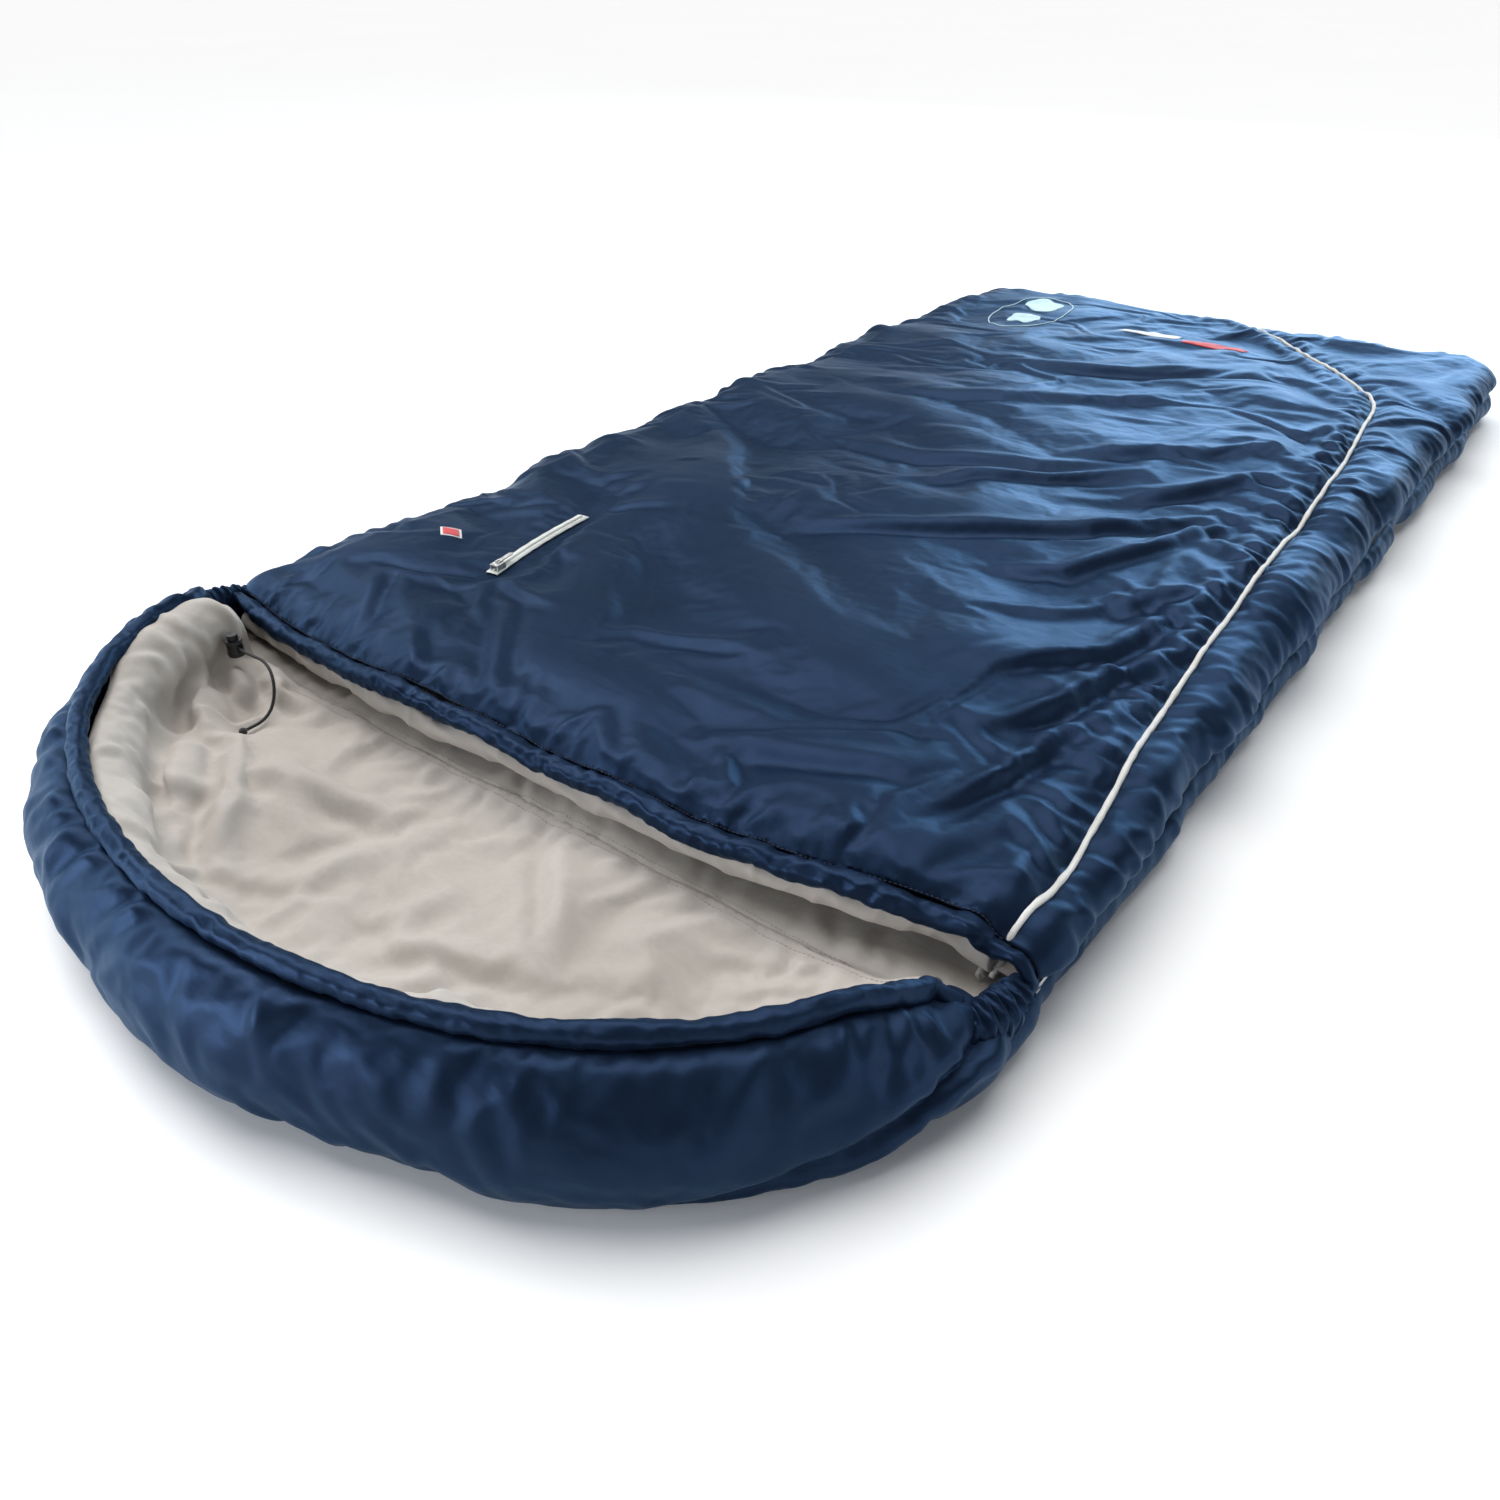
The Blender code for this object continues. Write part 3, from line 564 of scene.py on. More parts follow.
THREAD_NAVY = ribbed("navy_thread", (0.006, 0.012, 0.035), (0.010, 0.020, 0.055), 0.0004, 0.55)
THREAD_BEIGE = ribbed("beige_thread", (0.38, 0.33, 0.28), (0.48, 0.42, 0.36), 0.0004, 0.7)


def wear(obj, material):
    obj.data.materials.clear()
    obj.data.materials.append(material)


def dress(obj, material, body=None, stands_for=(), thick=None):
    """Material, slot and thickness, then what it rides on and what it replaces."""
    wear(obj, material)
    if thick:
        skin(obj, thick)
    if body:
        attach(obj, body)
    if stands_for:
        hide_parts(*stands_for)


def across_neck(obj):
    """The piece bends over the neck seam; its place is baked into its mesh."""
    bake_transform(obj)


def repaint(node, material):
    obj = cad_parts[node]
    if isinstance(obj, str):
        obj = bpy.data.objects[obj]
    for slot in obj.material_slots:
        slot.material = material


# Quilt faces: a strip that wraps the side, foot and corners, and a panel inside it


def outline(inset, near_left, near_right, sides, round_steps, foot_steps):
    """Round the body from the near left corner to the near right one; inset may be negative on a flat pattern."""
    radius = max(CORNER - inset, 0.006)
    half = HALF - inset
    reach = FOOT - inset
    points = []
    top = FOOT - CORNER if inset <= CORNER - 0.006 else reach - radius
    for y in np.linspace(near_left, top, sides, endpoint=False):
        points.append((-half, y))
    mid = half - radius
    for turn in np.linspace(math.pi, math.pi / 2, round_steps, endpoint=False):
        points.append((-mid + radius * math.cos(turn), reach - radius + radius * math.sin(turn)))
    for x in np.linspace(-mid, mid, foot_steps, endpoint=False):
        points.append((x, reach))
    for turn in np.linspace(math.pi / 2, 0, round_steps, endpoint=False):
        points.append((mid + radius * math.cos(turn), reach - radius + radius * math.sin(turn)))
    for y in np.linspace(top, near_right, sides):
        points.append((half, y))
    return np.array(points)


def quilt_face(name, left, right, near, rows, spacing, coarse=None):
    """A face of the quilt. left and right are profiles (inset, z) from the seam inwards; near(x) is its near edge.
    Gives the object, its flat pattern, the points of its near edge and each point's row in the strip."""
    left = even(left, rows)
    right = even(right, rows)
    sides = max(8, int((FOOT - CORNER - HEM) / spacing))
    round_steps = max(5, int(0.09 / spacing))
    foot_steps = max(6, int(2 * (HALF - CORNER) / spacing))
    count = 2 * sides + 2 * round_steps + foot_steps
    left_share = np.concatenate([np.ones(sides), 1 - smooth(0, 1, np.linspace(0, 1, round_steps)),
                                 np.zeros(count - sides - round_steps)])
    verts, flat = [], []
    for k in range(rows):
        rings, patterns = [], []
        for profile, lengths in ((left, run_of(left)), (right, run_of(right))):
            inset, z = profile[k]
            edge = outline(inset, near(-HALF + inset), near(HALF - inset), sides, round_steps, foot_steps)
            rings.append(np.column_stack([edge, np.full(count, z)]))
            laid = profile[-1][0] - (lengths[-1] - lengths[k])
            patterns.append(outline(laid, near(-HALF + laid), near(HALF - laid), sides, round_steps, foot_steps))
        verts.append(rings[0] * left_share[:, None] + rings[1] * (1 - left_share[:, None]))
        flat.append(patterns[0] * left_share[:, None] + patterns[1] * (1 - left_share[:, None]))
    faces = grid_faces(rows, count)
    inner = verts[-1]
    grid = coarse or spacing
    half = abs(inner[0][0])
    xs = np.linspace(half, -half, max(6, int(2 * half / grid)))[1:-1]
    front = np.array([(x, near(x)) for x in xs])
    rim = np.vstack([inner[:, :2], front])
    step = grid * 1.07
    inside = staggered(HALF, -0.80, FOOT, step)
    inside = inside + np.random.default_rng(3).uniform(-0.12, 0.12, inside.shape) * step
    inset = left[-1][0] + 0.55 * step
    keep = (np.abs(inside[:, 0]) < HALF - inset) & (inside[:, 1] < FOOT - inset)
    keep &= inside[:, 1] > np.array([near(x) for x in inside[:, 0]]) + 0.55 * step
    corner = (np.abs(inside[:, 0]) > HALF - inset - 0.02) & (inside[:, 1] > FOOT - inset - 0.02)
    away = np.hypot(np.abs(inside[:, 0]) - (HALF - inset - 0.02), inside[:, 1] - (FOOT - inset - 0.02))
    keep &= ~(corner & (away > 0.02))
    inside = inside[keep]
    plane = np.vstack([rim, inside])
    made = delaunay_2d_cdt([Vector(p) for p in plane], [], [list(range(len(rim)))], 1, 1e-7)
    origin = [source[0] for source in made[3]]
    z = np.concatenate([inner[:, 2], np.full(len(front) + len(inside), inner[:, 2].mean())])
    all_verts = np.vstack([*verts, np.column_stack([plane[len(inner):], z[len(inner):]])])
    all_flat = np.vstack([*flat, plane[len(inner):]])
    base = (rows - 1) * count
    faces += [tuple(base + origin[i] for i in face) for face in made[2]]
    obj = new_mesh(name, all_verts, faces)
    front_edge = [k * count for k in range(rows)]
    front_edge += [base + len(inner) + i for i in reversed(range(len(front)))]
    front_edge += [k * count + count - 1 for k in reversed(range(rows))]
    strip = np.concatenate([np.full(count, k) for k in range(rows)] + [np.full(len(all_verts) - rows * count, rows)])
    return obj, all_flat, front_edge, strip


FINE = 0.0070

HEM_EDGE = even([(-0.480, -0.6900), (-0.430, -0.6960), (-0.370, -0.7050), (-0.270, -0.7130), (-0.190, -0.7180),
                 (-0.100, -0.7150), (0.000, -0.7140), (0.140, -0.7150), (0.210, -0.7130), (0.280, -0.7060),
                 (0.350, -0.6940), (0.395, -0.6830), (0.430, -0.6830), (0.480, -0.6850)], 200)


def hem_line(x):
    """The near edge of the cover's top panel: bowed towards the hood in the middle."""
    return float(np.interp(x, HEM_EDGE[:, 0], HEM_EDGE[:, 1]))


def cover_rise(x, y):
    """How high the cover stands above its seam, as a share of the full height."""
    away = smooth(0.25, 1.08, y)
    near_edge = smooth(-0.620, -0.710, y)
    corner = smooth(0.36, 0.46, x) * smooth(-0.60, -0.69, y)
    return (1.0 - 0.26 * away) * (1.0 - 0.17 * near_edge) * (1.0 - 0.16 * corner)


cover_left = [(-0.0012, 0.0502), (-0.0022, 0.0580), (0.0010, 0.0690), (0.0090, 0.0820), (0.0260, 0.0925),
              (0.0550, 0.0985)]
cover_right = [(0.0095, 0.0545), (0.0030, 0.0570), (-0.0010, 0.0660), (0.0060, 0.0800), (0.0250, 0.0930),
               (0.0550, 0.0990)]
cover, cover_flat, cover_front, cover_strip = quilt_face("cover_outer", cover_left, cover_right, hem_line, 14, FINE)

folds = Folds(11)
# Long folds that gather into the right piping
for line, height, width in (
    ([(-0.080, -0.230), (0.097, -0.123), (0.209, -0.047), (0.300, 0.060), (0.385, 0.150)], 0.0075, 0.016),
    ([(0.120, -0.220), (0.239, -0.150), (0.290, -0.051), (0.340, 0.066), (0.392, 0.160)], 0.0060, 0.014),
    ([(0.250, -0.420), (0.345, -0.290), (0.371, -0.172), (0.398, -0.112), (0.412, -0.063)], 0.0070, 0.014),
    ([(0.300, -0.500), (0.352, -0.400), (0.365, -0.320), (0.395, -0.272), (0.418, -0.220)], 0.0085, 0.013),
    ([(0.330, -0.640), (0.355, -0.540), (0.372, -0.450), (0.400, -0.380), (0.424, -0.350)], 0.0070, 0.013),
    ([(0.150, -0.330), (0.270, -0.240), (0.330, -0.170), (0.380, -0.100), (0.408, -0.030)], 0.0050, 0.015),
    ([(-0.060, -0.080), (0.040, 0.030), (0.110, 0.090), (0.210, 0.190)], 0.0050, 0.017),
    ([(-0.200, 0.060), (-0.060, 0.060), (0.080, 0.110), (0.200, 0.230)], 0.0050, 0.018),
    ([(0.060, 0.140), (0.190, 0.250), (0.300, 0.330), (0.385, 0.400)], 0.0050, 0.018),
    ([(0.120, 0.000), (0.230, 0.110), (0.320, 0.230), (0.394, 0.300)], 0.0055, 0.016),
    ([(0.200, 0.380), (0.290, 0.440), (0.370, 0.520)], 0.0040, 0.015),
    ([(-0.250, 0.250), (-0.080, 0.330), (0.080, 0.460), (0.180, 0.560)], 0.0040, 0.022),
    ([(-0.150, 0.520), (0.020, 0.600), (0.160, 0.700)], 0.0040, 0.020),
    ([(0.352, -0.680), (0.370, -0.641), (0.392, -0.598), (0.420, -0.545)], 0.0022, 0.016),
    # Folds that rise from the hem
    ([(-0.040, -0.706), (-0.075, -0.675), (-0.120, -0.625), (-0.180, -0.560)], 0.0046, 0.013),
    ([(-0.140, -0.706), (-0.170, -0.690), (-0.215, -0.655)], 0.0038, 0.012),
    ([(0.100, -0.706), (0.072, -0.690), (0.030, -0.650)], 0.0042, 0.012),
    ([(0.295, -0.695), (0.304, -0.670), (0.285, -0.640)], 0.0042, 0.010),
    ([(0.200, -0.700), (0.190, -0.670), (0.150, -0.630)], 0.0045, 0.011),
    ([(-0.260, -0.695), (-0.290, -0.650), (-0.330, -0.600)], 0.0036, 0.012),
    ([(-0.060, -0.540), (0.010, -0.515), (0.075, -0.490)], 0.0035, 0.013),
    ([(0.130, -0.640), (0.240, -0.600), (0.330, -0.560)], 0.0035, 0.020),
    # Creases that leave the pocket's ends
    ([(-0.246, -0.540), (-0.215, -0.580), (-0.160, -0.620)], 0.0024, 0.011),
    ([(-0.254, -0.545), (-0.290, -0.580), (-0.350, -0.600)], 0.0022, 0.011),
    ([(-0.240, -0.532), (-0.180, -0.545), (-0.110, -0.550)], 0.0026, 0.011),
    ([(-0.284, -0.332), (-0.285, -0.290), (-0.270, -0.220)], 0.0026, 0.012),
    ([(-0.278, -0.332), (-0.240, -0.300), (-0.190, -0.270)], 0.0022, 0.011),
):
    folds.draw(line, height, width, 0.3, 0.3)
hem_route = [(x, hem_line(x)) for x in np.linspace(-0.43, 0.43, 60)]
left_route = [(-0.470, y) for y in np.linspace(-0.66, 1.0, 40)]
right_low = [(0.505, y) for y in np.linspace(-0.66, 1.0, 40)]
foot_route = [(x, 1.105) for x in np.linspace(-0.40, 0.40, 20)]
folds.puckers(PIPING, 0.017, 0.060, 0.0058, 0.0030, spread=0.30, lean=0.35)
folds.puckers(PIPING[:8], 0.030, 0.150, 0.0105, 0.0036, sides=(1,), lean=-0.45, spread=0.25)
folds.puckers(hem_route, 0.018, 0.055, 0.0060, 0.0034, sides=(1,), spread=0.45)
folds.puckers(left_route, 0.028, 0.080, 0.0085, 0.0036, spread=0.5)
folds.puckers(right_low, 0.013, 0.055, 0.0052, 0.0034, sides=(1,), spread=0.22)
folds.puckers(foot_route, 0.024, 0.080, 0.0080, 0.0034, spread=0.4)
folds.scatter((-0.40, 0.38, 0.10, 1.00), 110, 0.45, 0.45, 0.13, 0.011, 0.0018)
folds.scatter((-0.42, 0.00, -0.66, 0.10), 60, 0.9, 0.80, 0.075, 0.0090, 0.0015)
folds.scatter((0.20, 0.42, -0.60, 0.40), 36, 1.05, 0.30, 0.14, 0.010, 0.0026)

outward(cover, 1)
p = coords(cover)
n = normals(cover)
seam = np.clip(cover_strip / 3.0, 0, 1)
inner_far = np.minimum(HALF - np.abs(cover_flat[:, 0]), FOOT - cover_flat[:, 1])
rise = 0.0045 * smooth(0.05, 0.30, inner_far)
high = p[:, 2] - SEAM_Z
p[:, 2] = SEAM_Z + (high + rise) * np.where(high > 0, cover_rise(p[:, 0], p[:, 1]), 1)
broad = 0.0042 * lumps(cover_flat, 0.16, 21) + 0.0022 * lumps(cover_flat, 0.07, 22)
wavy = 0.0050 * lumps(cover_flat, 0.075, 23) * smooth(0.10, 0.0, inner_far)
lift = folds.field(cover_flat)
still = np.exp(-(((cover_flat[:, 0] - 0.02) / 0.20) ** 2) - ((cover_flat[:, 1] + 0.42) / 0.22) ** 2)
printed = np.exp(-((cover_flat[:, 0] / 0.15) ** 4) - ((cover_flat[:, 1] - 0.845) / 0.060) ** 2)
printed += np.exp(-(((cover_flat[:, 0] + 0.29) / 0.10) ** 4) - ((cover_flat[:, 1] - 0.87) / 0.14) ** 4)
lift *= 1 - 0.75 * printed
broad *= 1 - 0.60 * printed
broad *= (1 - 0.5 * still) * (1 - 0.35 * smooth(0.30, 0.80, cover_flat[:, 1]))
lift *= 1 - 0.35 * still
pipe_far, _, pipe_share = nearest(p[:, :2], even(PIPING, 160))
valley = -0.0050 * np.exp(-((pipe_far / 0.0085) ** 2)) * (1 - 0.5 * smooth(0.55, 1.0, pipe_share))
puff = 0.0035 * np.exp(-(((pipe_far - 0.028) / 0.016) ** 2))
hem_far = cover_flat[:, 1] - np.array([hem_line(x) for x in cover_flat[:, 0]])
groove = -0.0065 * np.exp(-((hem_far / 0.0075) ** 2)) + 0.0035 * np.exp(-(((hem_far - 0.030) / 0.018) ** 2))
along = np.array([math.cos(POCKET_TURN), math.sin(POCKET_TURN)])
across = np.array([-along[1], along[0]])
local = cover_flat - np.array(POCKET_CENTRE)
pocket_far = np.maximum(np.abs(local @ along) - POCKET_LENGTH / 2, 0) + np.maximum(np.abs(local @ across) - 0.009, 0)
calm = smooth(0.002, 0.040, pocket_far)
total = (broad + wavy + lift) * seam + (valley + puff + groove) * np.clip(cover_strip / 2.0, 0, 1)
total = total * calm + (1 - calm) * -0.0015
total = np.clip(total, -0.016, 0.017)
target = p + n * total[:, None]
target[:, 2] = target[:, 2] * calm + (1 - calm) * np.minimum(target[:, 2], 0.0984)
set_coords(cover, target)

hold = np.zeros(len(p))
hold[cover_strip <= 0] = 1.0
hold[cover_front] = 1.0
hold[pipe_far < 0.006] = 0.9
hold[hem_far < 0.004] = 1.0
hold[pocket_far < 0.003] = 1.0
drape(cover, hold, grow=0.016, pressure=0.3, frames=14, cap=0.007)

front_line = coords(cover)[cover_front]
finer(cover)
inside_hinge(cover)
# Room for the foot's slider below the lip
p = coords(cover)
lip = 0.0502 + 0.0060 * smooth(-0.42, -0.36, p[:, 0]) * smooth(1.030, 1.045, p[:, 1])
p[:, 2] = np.maximum(p[:, 2], np.where(p[:, 1] > 1.030, lip, p[:, 2]))
set_coords(cover, p)
cover_tree = surface_tree(cover)


def on_cover(x, y, above=0.0):
    hit = cover_tree.ray_cast(Vector((x, y, 0.3)), Vector((0, 0, -1)))
    z = hit[0].z if hit[0] is not None else 0.05
    return np.array([x, y, z + above])


dress(cover, NAVY, "cover", ("cover_shell", "cover_padding"), thick=0.0010)

# The cover's lining, seen under the hem and when the cover is open

cl = [(0.0015, 0.0512), (0.012, 0.0560), (0.028, 0.0605), (0.055, 0.0625)]
cr = [(0.0125, 0.0552), (0.020, 0.0590), (0.032, 0.0612), (0.055, 0.0625)]
under, under_flat, _, under_strip = quilt_face("cover_inner", cl, cr, lambda x: hem_line(x) - 0.010, 7, 0.012)
p = coords(under)
outward(under, -1)
soft = Folds(31)
for hand in (1, -1):
    soft.puckers([(0.47 * hand, y) for y in np.linspace(-0.66, 1.0, 30)], 0.035, 0.08, 0.012, 0.003, sides=(hand,))
soft.scatter((-0.42, 0.42, -0.66, 1.0), 90, 0.3, 1.2, 0.16, 0.016, 0.0030)
dent = 0.0030 * lumps(under_flat, 0.13, 33) + soft.field(under_flat)
free = np.clip(under_strip / 3.0, 0, 1)
p[:, 2] += np.clip(dent, -0.008, 0.008) * free
set_coords(under, p)
finer(under)
inside_hinge(under)
dress(under, BEIGE, "cover", ("cover_lining",), thick=-0.0008)

# Hem tunnel: follows the cover's near edge, with fine puckers

TUNNEL_STEPS = 420
line = even(front_line[::2], TUNNEL_STEPS)
run = run_of(line)
middle_share = smooth(0.470, 0.40, np.abs(line[:, 0]))
hem = line + np.column_stack([np.zeros(TUNNEL_STEPS), -0.0090 - 0.001 * middle_share, -0.0045 * middle_share])
hem[:, 2] += 0.0012 * lumps(hem, 0.05, 51)
hem[:, 1] += 0.0012 * lumps(hem, 0.07, 52)
hem_r = 0.0098 + 0.0008 * lumps(hem, 0.04, 53)
hem_r *= 0.55 + 0.45 * middle_share
pinch = [lumps(np.array([[at, 0.0]]), 0.010, 54)[0] for at in run]


def hem_ripple(i, turns):
    twist = 3.0 * lumps(np.array([[run[i], 1.0]]), 0.05, 55)[0]
    return 0.10 * pinch[i] * np.cos(2 * turns + twist) + 0.05 * np.cos(5 * turns + 40 * run[i] + twist)


tunnel = tube("hem_tunnel", hem, hem_r, 20, hem_ripple)
crinkle(tunnel, 0.012, 0.0016, 56)
crinkle(tunnel, 0.005, 0.0006, 57)
finer(tunnel)
inside_hinge(tunnel)
dress(tunnel, NAVY_TUNNEL, "cover", ("cover_hem_tunnel",))

# The lining's edge that shows under the tunnel
keep = np.abs(line[:, 0]) < 0.440
face_line = line[keep] + (0, -0.0075, 0)
face_line[:, 2] = 0.0640 + 0.0018 * lumps(face_line, 0.05, 61) + 0.0080 * smooth(0.10, 0.35, face_line[:, 0])
face_line[:, 2] -= 0.0095 * smooth(0.37, 0.43, face_line[:, 0])
face_line[:, 1] += 0.0020 * lumps(face_line, 0.06, 62)
facing = tube("hem_facing", face_line, 0.0085, 16, lambda i, t: 0.12 * np.cos(3 * t + i * 0.21), flatten=1.30)
crinkle(facing, 0.018, 0.0022, 63)
finer(facing)
dress(facing, BEIGE, "cover")

# Bottom half: the outer shell with its puckered side, and the cotton top

bl = [(0.034, 0.0006), (0.012, 0.0065), (0.0010, 0.0180), (-0.0005, 0.0330), (-0.0012, 0.0498)]
br = [(0.034, 0.0006), (0.012, 0.0065), (0.0010, 0.0180), (-0.0005, 0.0330), (0.0045, 0.0430), (0.0095, 0.0455)]
bottom, bottom_flat, _, bottom_strip = quilt_face(
    "bottom_outer", [*reversed(bl), (0.055, 0.0004)], [*reversed(br), (0.055, 0.0004)], lambda x: NECK, 16, FINE, 0.03)
outward(bottom, -1)
p = coords(bottom)
n = normals(bottom)
low = Folds(41)
low.puckers([(0.520, y) for y in np.linspace(-0.72, 1.02, 50)], 0.015, 0.06, 0.0060, 0.0036, sides=(1,), spread=0.25)
low.puckers([(-0.520, y) for y in np.linspace(-0.72, 1.02, 50)], 0.020, 0.06, 0.0070, 0.0036, sides=(-1,), spread=0.3)
low.puckers([(x, 1.125) for x in np.linspace(-0.42, 0.42, 24)], 0.018, 0.06, 0.0070, 0.0034, sides=(-1, 1),
            spread=0.3)
wave = 0.0040 * lumps(bottom_flat, 0.09, 42) + 0.0015 * lumps(bottom_flat, 0.04, 43) + low.field(bottom_flat)
share = np.clip(bottom_strip / 3.0, 0, 1) * np.clip((15 - bottom_strip) / 5.0, 0, 1)
share *= smooth(NECK, NECK + 0.02, bottom_flat[:, 1])
target = p + n * (np.clip(wave, -0.008, 0.008) * share)[:, None]
target[:, 2] = np.maximum(target[:, 2], 0.0004)
set_coords(bottom, target)
finer(bottom)
inside_hinge(bottom)
p = coords(bottom)
p[:, 2] = np.maximum(p[:, 2], 0.0003)
set_coords(bottom, p)
dress(bottom, NAVY, "bottom", ("bottom_shell", "bottom_padding"))


def seam_line(x):
    """Where the body's lining meets the hood's: a slightly wavy seam."""
    fade = smooth(0.30, 0.26, abs(x))
    return HOOD_FRONT + float(fade) * (0.0014 * math.sin(23 * x + 1) + 0.0009 * math.sin(57 * x + 2) - 0.0010)


def hem_puff(x, y):
    """The padding below swells up to the hem, except at the right corner, where the bag gapes."""
    share = (1 - smooth(0.12, 0.36, x)) * smooth(-0.465, -0.405, x)
    return 0.0120 * np.exp(-(((y + 0.686) / 0.048) ** 2)) * share


il = [(0.0015, 0.0490), (0.012, 0.0445), (0.028, 0.0385), (0.055, 0.0360)]
ir = [(0.0125, 0.0448), (0.020, 0.0410), (0.032, 0.0375), (0.055, 0.0360)]
bed, bed_flat, _, bed_strip = quilt_face(
    "bottom_inner", il, ir, lambda x: seam_line(x) + 0.0002, 7, 0.0100)
outward(bed, 1)
p = coords(bed)
calm_folds = Folds(71)
for hand in (1, -1):
    calm_folds.puckers([(0.465 * hand, y) for y in np.linspace(-0.70, 1.0, 30)], 0.035, 0.09, 0.012, 0.003,
                       sides=(hand,))
calm_folds.puckers([(x, NECK) for x in np.linspace(-0.44, 0.44, 20)], 0.018, 0.050, 0.0065, 0.0042, sides=(1,))
calm_folds.scatter((-0.42, 0.42, -0.66, 1.0), 90, 0.3, 1.2, 0.16, 0.016, 0.0030)
dent = 0.0034 * lumps(bed_flat, 0.15, 73) + calm_folds.field(bed_flat)
free = np.clip(bed_strip / 3.0, 0, 1) * smooth(NECK - 0.001, NECK + 0.014, bed_flat[:, 1])
seam_far = (bed_flat[:, 1] - NECK) / 0.009
near_seam = -0.0030 * np.exp(-(seam_far**2)) - 0.0014 * smooth(0.7, 0.4, seam_far)
near_seam *= smooth(0.40, 0.36, np.abs(bed_flat[:, 0]))
p[:, 2] += np.clip(dent, -0.008, 0.010) * free + near_seam + hem_puff(p[:, 0], p[:, 1])
set_coords(bed, p)
finer(bed)
inside_hinge(bed)
dress(bed, BEIGE, "bottom", ("bottom_lining",), thick=0.0008)

# Hood


def hood_at(turn, inset, z):
    """A place on the hood, as in the CAD, with a softer fall of the wall beside the neck."""
    edge = np.array([HALF * math.cos(turn), -HOOD_DEPTH * math.sin(turn)])
    out = np.array([HOOD_DEPTH * math.cos(turn), -HALF * math.sin(turn)])
    out /= np.linalg.norm(out)
    x, y = edge - inset * out
    if turn > math.pi / 2:
        share = 0.80 + 0.20 * smooth(-0.01, 0.06, -edge[1])
    else:
        share = 0.40 + 0.60 * smooth(-0.02, 0.135, -edge[1])
    height = z if z < 0.040 else 0.040 + (z - 0.040) * share
    return np.array([x, min(HOOD_FRONT + y, HOOD_FRONT), height])


def ellipse_turns(count):
    turns = np.linspace(0, math.pi, 2000)
    p = np.column_stack([HALF * np.cos(turns), HOOD_DEPTH * np.sin(turns)])
    run = run_of(p)
    return np.interp(np.linspace(0, run[-1], count), run, turns), run[-1]


turn_count = 210
TURNS, HOOD_RUN = ellipse_turns(turn_count)
hood_profile = even([(0.055, 0.0004), (0.034, 0.0008), (0.012, 0.0070), (0.0005, 0.0230), (-0.0025, 0.0430),
                     (0.0010, 0.0680), (0.0120, 0.0900), (0.0260, 0.1060), (0.0370, 0.1130), (0.0435, 0.1120),
                     (0.0490, 0.1085)], 28)
profile_run = run_of(hood_profile)
verts, hood_flat = [], []
for i, turn in enumerate(TURNS):
    for k, (inset, z) in enumerate(hood_profile):
        verts.append(hood_at(turn, inset, z))
        hood_flat.append((HOOD_RUN * i / (turn_count - 1), profile_run[k]))
hood = new_mesh("hood_outer", verts, grid_faces(turn_count, len(hood_profile)))
hood_flat = np.array(hood_flat)
top_v = profile_run[-1]
p = coords(hood)
n = normals(hood)
if (n[:, :2] * (p[:, :2] - np.array([0, HOOD_FRONT]))).sum() < 0:
    hood.data.flip_normals()
    n = normals(hood)
wall = Folds(81)
rim_route = [(u, top_v) for u in np.linspace(0.0, HOOD_RUN, 60)]
floor_route = [(u, 0.030) for u in np.linspace(0.0, HOOD_RUN, 60)]
wall.puckers(rim_route, 0.015, 0.060, 0.0055, 0.0032, sides=(-1,), lean=0.50, spread=0.25)
wall.puckers(rim_route, 0.050, 0.120, 0.0100, 0.0034, sides=(-1,), lean=0.70, spread=0.22)
wall.puckers(floor_route, 0.045, 0.050, 0.0085, 0.0032, sides=(1,), lean=-0.3, spread=0.5)
wall.puckers([(u, top_v) for u in np.linspace(0.0, 0.13, 10)], 0.010, 0.07, 0.0060, 0.0050, sides=(-1,), lean=0.5)
wall.puckers([(u, top_v) for u in np.linspace(HOOD_RUN - 0.20, HOOD_RUN, 10)], 0.012, 0.07, 0.0060, 0.0048,
             sides=(-1,), lean=-0.4)
wall.scatter((0.05, HOOD_RUN - 0.05, 0.05, 0.15), 60, 0.8, 0.9, 0.08, 0.009, 0.0018)
bulge = 0.0030 * lumps(hood_flat, 0.14, 82) + 0.0012 * lumps(hood_flat, 0.05, 83) - 0.0010
# The seam that runs from the right neck corner round the right side, with a smoother panel below it
dart = [(0.0, 0.147), (0.03, 0.124), (0.06, 0.106), (0.10, 0.089), (0.15, 0.076), (0.20, 0.066), (0.25, 0.056),
        (0.30, 0.046)]
dart_far, _, dart_share = nearest(hood_flat, even(dart, 60))
dart_groove = -0.0125 * np.exp(-((dart_far / 0.0070) ** 2)) * (1 - smooth(0.8, 1.0, dart_share))
dart_puff = 0.0050 * np.exp(-(((dart_far - 0.021) / 0.013) ** 2)) * (1 - smooth(0.8, 1.0, dart_share))
wall.puckers(dart, 0.013, 0.032, 0.0050, 0.0024, spread=0.35)
wave = bulge + wall.field(hood_flat) + dart_puff
share = smooth(0.015, 0.045, hood_flat[:, 1]) * smooth(top_v - 0.006, top_v - 0.018, hood_flat[:, 1])
groove = -0.0030 * np.exp(-(((top_v - 0.012 - hood_flat[:, 1]) / 0.005) ** 2))
total = np.clip(wave * share + dart_groove * smooth(0.01, 0.04, hood_flat[:, 1]) + groove, -0.014, 0.013)
total = np.minimum(total, 0.0015 + 0.0095 * smooth(0.07, 0.13, hood_flat[:, 1]))
total *= smooth(0.0, 0.018, np.minimum(hood_flat[:, 0], HOOD_RUN - hood_flat[:, 0]))
target = p + n * total[:, None]
